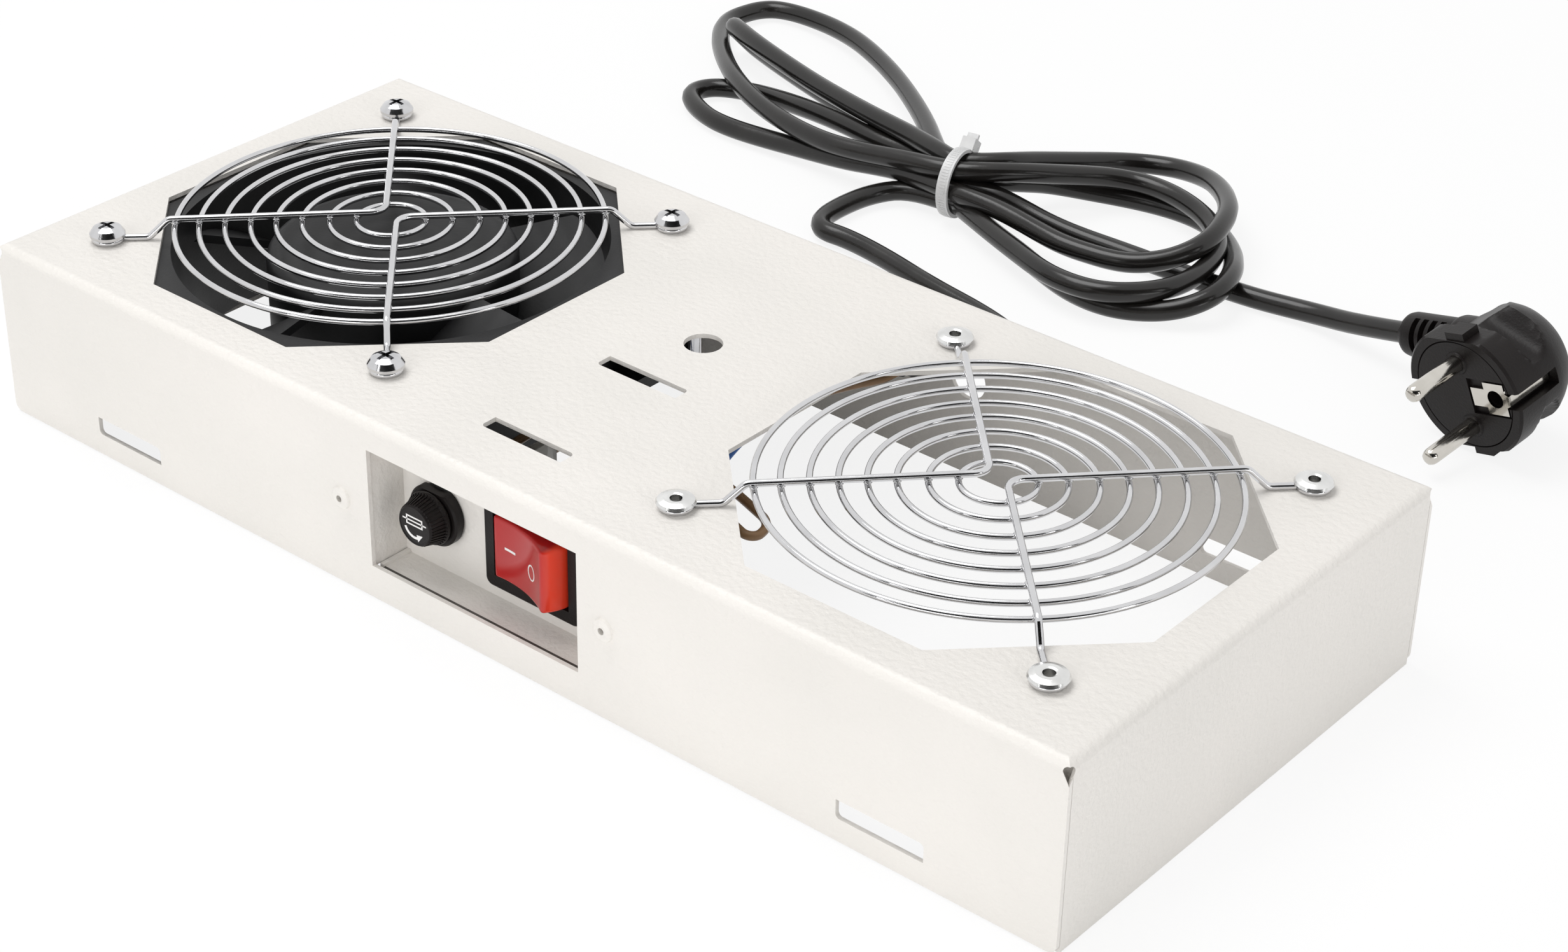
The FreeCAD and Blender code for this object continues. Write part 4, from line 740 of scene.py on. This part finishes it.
def strand_in_tie(degrees):
    """Where a strand passes the tie: six strands lie round a middle one."""
    across, up = on_circle(STRAND_PITCH, degrees)
    side = Vector((math.sin(BUNDLE_TURN), -math.cos(BUNDLE_TURN), 0.0))
    return TIE_CENTRE + across * side + Vector((0.0, 0.0, up))


def turn_points(keys):
    """Two points to each key of the hank's turns, on an even curve through the keys."""
    points = []
    for before, here, after, beyond in zip(keys, keys[1:], keys[2:], keys[3:]):
        points.append(here)
        points.append((9.0 * (here + after) - before - beyond) / 16.0)
    return points


hank_keys = [Vector(LEAD[-1])]
for degrees, turn_keys in TURNS:
    hank_keys.append(strand_in_tie(degrees))
    hank_keys += [Vector(key) for key in turn_keys]
hank_keys += [TIE_CENTRE] + [Vector(key) for key in TAIL[:2]]
route = [Vector(point) for point in LEAD] + turn_points(hank_keys) + [Vector(point) for point in TAIL]

cord_line = bpy.data.curves.new("mains_cord", "CURVE")
cord_line.dimensions = "3D"
spline = cord_line.splines.new("NURBS")
spline.points.add(len(route) - 1)
for control, point in zip(spline.points, route):
    control.co = (point * MILLIMETRE).to_4d()
spline.order_u = 3
spline.use_endpoint_u = True
cord_line.resolution_u = 5
cord_line.bevel_depth = CORD_RADIUS
cord_line.bevel_resolution = 4
cord_line.use_fill_caps = True
mains_cord = bpy.data.objects.new("mains_cord", cord_line)
scene.collection.objects.link(mains_cord)
cord_sheath = plain_finish("cord_sheath", dark=(0.008, 0.0072, 0.0066), light=(0.013, 0.0118, 0.0106),
                           rough=(0.17, 0.25), patch=0.012, texture=0.0012, depth=0.00002, gloss=0.45)
cord_line.materials.append(cord_sheath)
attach(mains_cord, "tray")
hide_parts("cord_lead", "cord_hank", "cord_tail")
dress(rubber_black, "cord_gland")

# Cable tie: a natural nylon strap pulled tight round the strands, with its head and cut end on top.
# Shallow bars run across the strap.
TIE_PLACE = (Matrix.Translation((-0.0552, 0.1912, 0.0109)) @ Matrix.Rotation(math.radians(10.0), 4, "Z")
             @ Matrix.Rotation(math.radians(90.0), 4, "Y"))
TIE_BARS = 72
BAR_OUTLINE = [(10.5, -1.15), (10.82, -1.05), (10.82, 1.05), (10.5, 1.15)]
BAR_HALF = 0.24
tie_nylon = plain_finish("tie_nylon", dark=(0.76, 0.76, 0.76), light=(0.84, 0.84, 0.84),
                         rough=(0.26, 0.36), patch=0.004, texture=0.0006, depth=0.00003, clear=0.2)
dress(tie_nylon, "cable_tie")
tie_bars = make_piece("tie_bars", *upright_prism(BAR_OUTLINE, BAR_HALF))
grow(tie_bars, round_tree, {"Count": TIE_BARS, "Finish": tie_nylon})
tie_bars.data.transform(TIE_PLACE)
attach(tie_bars, "tray")

# Plug: one black moulding with a round face, finger hollows, a boss for the cord and a slotted sleeve on it.
# Two plated pins with round tips stand in it, and bent earth plates lie in its face and sides.
PLUG_PLACE = (Matrix.Translation((0.1344, 0.1668, 0.02045)) @ Matrix.Rotation(math.radians(-12.7), 4, "Z")
              @ Matrix.Rotation(math.radians(-17.3), 4, "Y") @ Matrix.Rotation(math.radians(11.4), 4, "X")
              @ Matrix.Translation((-0.0032, 0.0, -0.0014)))
SHELL_PROFILE = [(15.6, 0.0), (15.8, 0.4), (16.0, 0.0), (18.2, 0.0), (18.9, 0.7), (18.9, 4.0), (18.9, 7.4),
                 (18.9, 7.8), (18.9, 8.3), (18.9, 8.9), (18.9, 9.6), (18.9, 10.4), (18.8, 12.0), (18.7, 13.5),
                 (18.6, 15.0), (18.5, 16.0), (18.4, 17.0), (18.2, 18.0), (17.9, 19.0), (17.5, 20.0),
                 (17.1, 21.0), (16.5, 22.2), (15.5, 24.0), (14.0, 26.0), (12.2, 27.6), (10.0, 28.6), (8.0, 29.0)]
BAND_END = 8.6
BAND_FLAT = 16.2
BAND_ANGLES = (90.0, -90.0)
HOLLOW_DEPTHS = [(7.4, 19.5), (7.8, 18.4), (8.3, 16.8), (8.9, 15.3), (9.6, 14.4), (10.4, 14.0), (13.5, 14.0),
                 (15.0, 14.6), (17.0, 16.2), (19.0, 17.8), (21.0, 19.0)]
HOLLOW_ANGLES = (62.0, 118.0, -62.0, -118.0)
CORD_SIDE_ANGLES = (115.0, -115.0)
CORD_SIDE_DEPTH = 14.0
BOSS_PROFILE = [(7.4, 0.0), (7.4, 17.4), (7.0, 18.6), (6.3, 19.2)]
CORD_BACK = 21.5
CORD_RISE = 2.4
KEY_BOXES = (((-1.8, 4.4), (0.4, 6.5), (15.0, 18.4)), ((-1.8, 4.4), (0.4, 6.5), (-18.4, -15.0)))
GROOVE_BOX = ((14.6, 24.0), (-2.0, 16.2), (-2.4, 2.4))
FACE_POCKET = ((2.0, 14.8), (-2.0, 1.0), (-5.3, 5.3))
SOCKET_PLACE = 10.6
SOCKET_PROFILE = [(2.6, -1.0), (2.6, 9.0)]
EARTH_OUTLINE = [(2.7, -2.8), (7.3, -2.8), (7.3, -4.7), (14.2, -4.7), (14.2, -2.1), (15.5, -1.4), (15.5, 1.4),
                 (14.2, 2.1), (14.2, 4.7), (7.3, 4.7), (7.3, 2.6), (2.7, 2.6)]
EARTH_FACE = (0.05, 0.75)
EARTH_STRIP = ((14.7, 15.5), (0.05, 15.8), (-1.4, 1.4))
PIN_PROFILE = [(2.4, 8.0), (2.4, -16.6), (2.25, -17.6), (1.85, -18.4), (1.2, -18.85), (0.5, -19.0)]
COLLAR_PROFILE = [(2.45, 0.1), (2.45, -0.25), (3.2, -0.35), (3.5, 0.1)]
PIN_RISES = (-9.5, 9.5)
SLEEVE_PLACE = -18.7
SLEEVE_RADIUS = 6.3
SLEEVE_ROOT = (6.3, -1.0)
SLEEVE_END = [(6.3, 16.6), (6.0, 17.8), (5.3, 18.7), (4.4, 19.2), (3.3, 19.3)]
SLOT_MARK = 6.31
SLOT_FLOOR = 4.5
SLOT_PLACES = (3.2, 6.4, 9.6, 12.8)
SLOT_HALF = 0.95
SLOT_EDGE = 0.1
SLOT_SIDES = (155.0, 335.0)
SLOT_SPAN = 52.0


def hollowed(radius, along, angle):
    """The plug's section: flat at the top and bottom of its front band, and flat towards the cord behind it,
    with four hollows for the fingers."""
    if along <= BAND_END:
        radius = flattened(radius, angle, BAND_FLAT, *BAND_ANGLES)
    else:
        radius = flattened(radius, angle, CORD_SIDE_DEPTH, *CORD_SIDE_ANGLES)
    for (low, here), (high, there) in zip(HOLLOW_DEPTHS, HOLLOW_DEPTHS[1:]):
        if low <= along <= high:
            depth = here + (there - here) * (along - low) / (high - low)
            radius = flattened(radius, angle, depth, *HOLLOW_ANGLES)
    return radius


def facing_back(shape, right=0.0, rise=0.0):
    """A shape laid so that its z runs along the plug's y, and moved to the right or up."""
    corners, faces = shape
    return [(right + x, along, rise + z) for x, z, along in corners], faces


def along_cord(shape, place=0.0):
    """A shape laid so that its z runs out along the cord, from this place on."""
    corners, faces = shape
    return [(place - along, CORD_BACK + x, CORD_RISE + z) for x, z, along in corners], faces


def mirrored(spans):
    """A block's spans on the other side of the plug."""
    (x0, x1), y_span, z_span = spans
    return (-x1, -x0), y_span, z_span


def carve(piece, operation, shape):
    """Joins a shape to a piece or cuts it away."""
    tool = make_piece("tool", *shape)
    change = piece.modifiers.new("carve", "BOOLEAN")
    change.operation = operation
    change.solver = "EXACT"
    change.object = tool
    settle(piece)
    bpy.data.objects.remove(tool)


shell_shape = turned(SHELL_PROFILE, segments=180, shape=hollowed)
plug = make_piece("plug_moulding", *facing_back(shell_shape), moulding_black)
carve(plug, "UNION", along_cord(turned(BOSS_PROFILE, segments=64)))
for spans in KEY_BOXES:
    carve(plug, "UNION", box_shape(*spans))
for spans in (GROOVE_BOX, mirrored(GROOVE_BOX), FACE_POCKET):
    carve(plug, "DIFFERENCE", box_shape(*spans))
earth_socket = facing_back(turned(SOCKET_PROFILE, segments=48), right=SOCKET_PLACE)
carve(plug, "DIFFERENCE", earth_socket)
plug.data.transform(PLUG_PLACE)
smooth(plug, degrees=28)
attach(plug, "tray")
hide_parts("plug_body")


def slotted(radius, along, angle):
    """The sleeve's slots: rows with the mark go down to the slot's floor within its span."""
    if radius != SLOT_MARK:
        return radius
    away = min(abs((math.degrees(angle) - side + 180.0) % 360.0 - 180.0) for side in SLOT_SIDES)
    return SLOT_FLOOR if away < SLOT_SPAN else SLEEVE_RADIUS


sleeve_profile = [SLEEVE_ROOT]
for middle in SLOT_PLACES:
    low, high = middle - SLOT_HALF, middle + SLOT_HALF
    sleeve_profile += [(SLEEVE_RADIUS, low), (SLOT_MARK, low + SLOT_EDGE),
                       (SLOT_MARK, high - SLOT_EDGE), (SLEEVE_RADIUS, high)]
sleeve_profile += SLEEVE_END
sleeve_shape = along_cord(turned(sleeve_profile, segments=120, shape=slotted), SLEEVE_PLACE)
sleeve = make_piece("plug_sleeve", *sleeve_shape, moulding_black)
sleeve.data.transform(PLUG_PLACE)
smooth(sleeve, degrees=30)
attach(sleeve, "tray")
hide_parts("plug_strain_relief")

pin = turned(PIN_PROFILE, segments=48)
pins = make_piece("plug_round_pins", *together(*[facing_back(pin, rise=rise) for rise in PIN_RISES]), bright_cap)
pins.data.transform(PLUG_PLACE)
smooth(pins, degrees=30)
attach(pins, "tray")
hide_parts("plug_pins")
collar = turned(COLLAR_PROFILE, segments=48, hollow=True)
collar_pair = together(*[facing_back(collar, rise=rise) for rise in PIN_RISES])
collars = make_piece("plug_pin_collars", *collar_pair, moulding_black)
collars.data.transform(PLUG_PLACE)
smooth(collars, degrees=30)
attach(collars, "tray")

earth = make_piece("plug_earth_plates", *facing_back(prism(EARTH_OUTLINE, *EARTH_FACE)), bright_cap)
carve(earth, "DIFFERENCE", earth_socket)
strips = together(box_shape(*EARTH_STRIP), box_shape(*mirrored(EARTH_STRIP)))
earth_sides = make_piece("plug_earth_sides", *strips, bright_cap)
for piece in (earth, earth_sides):
    piece.data.transform(PLUG_PLACE)
    smooth(piece, degrees=30)
    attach(piece, "tray")
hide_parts("plug_earth_clips")
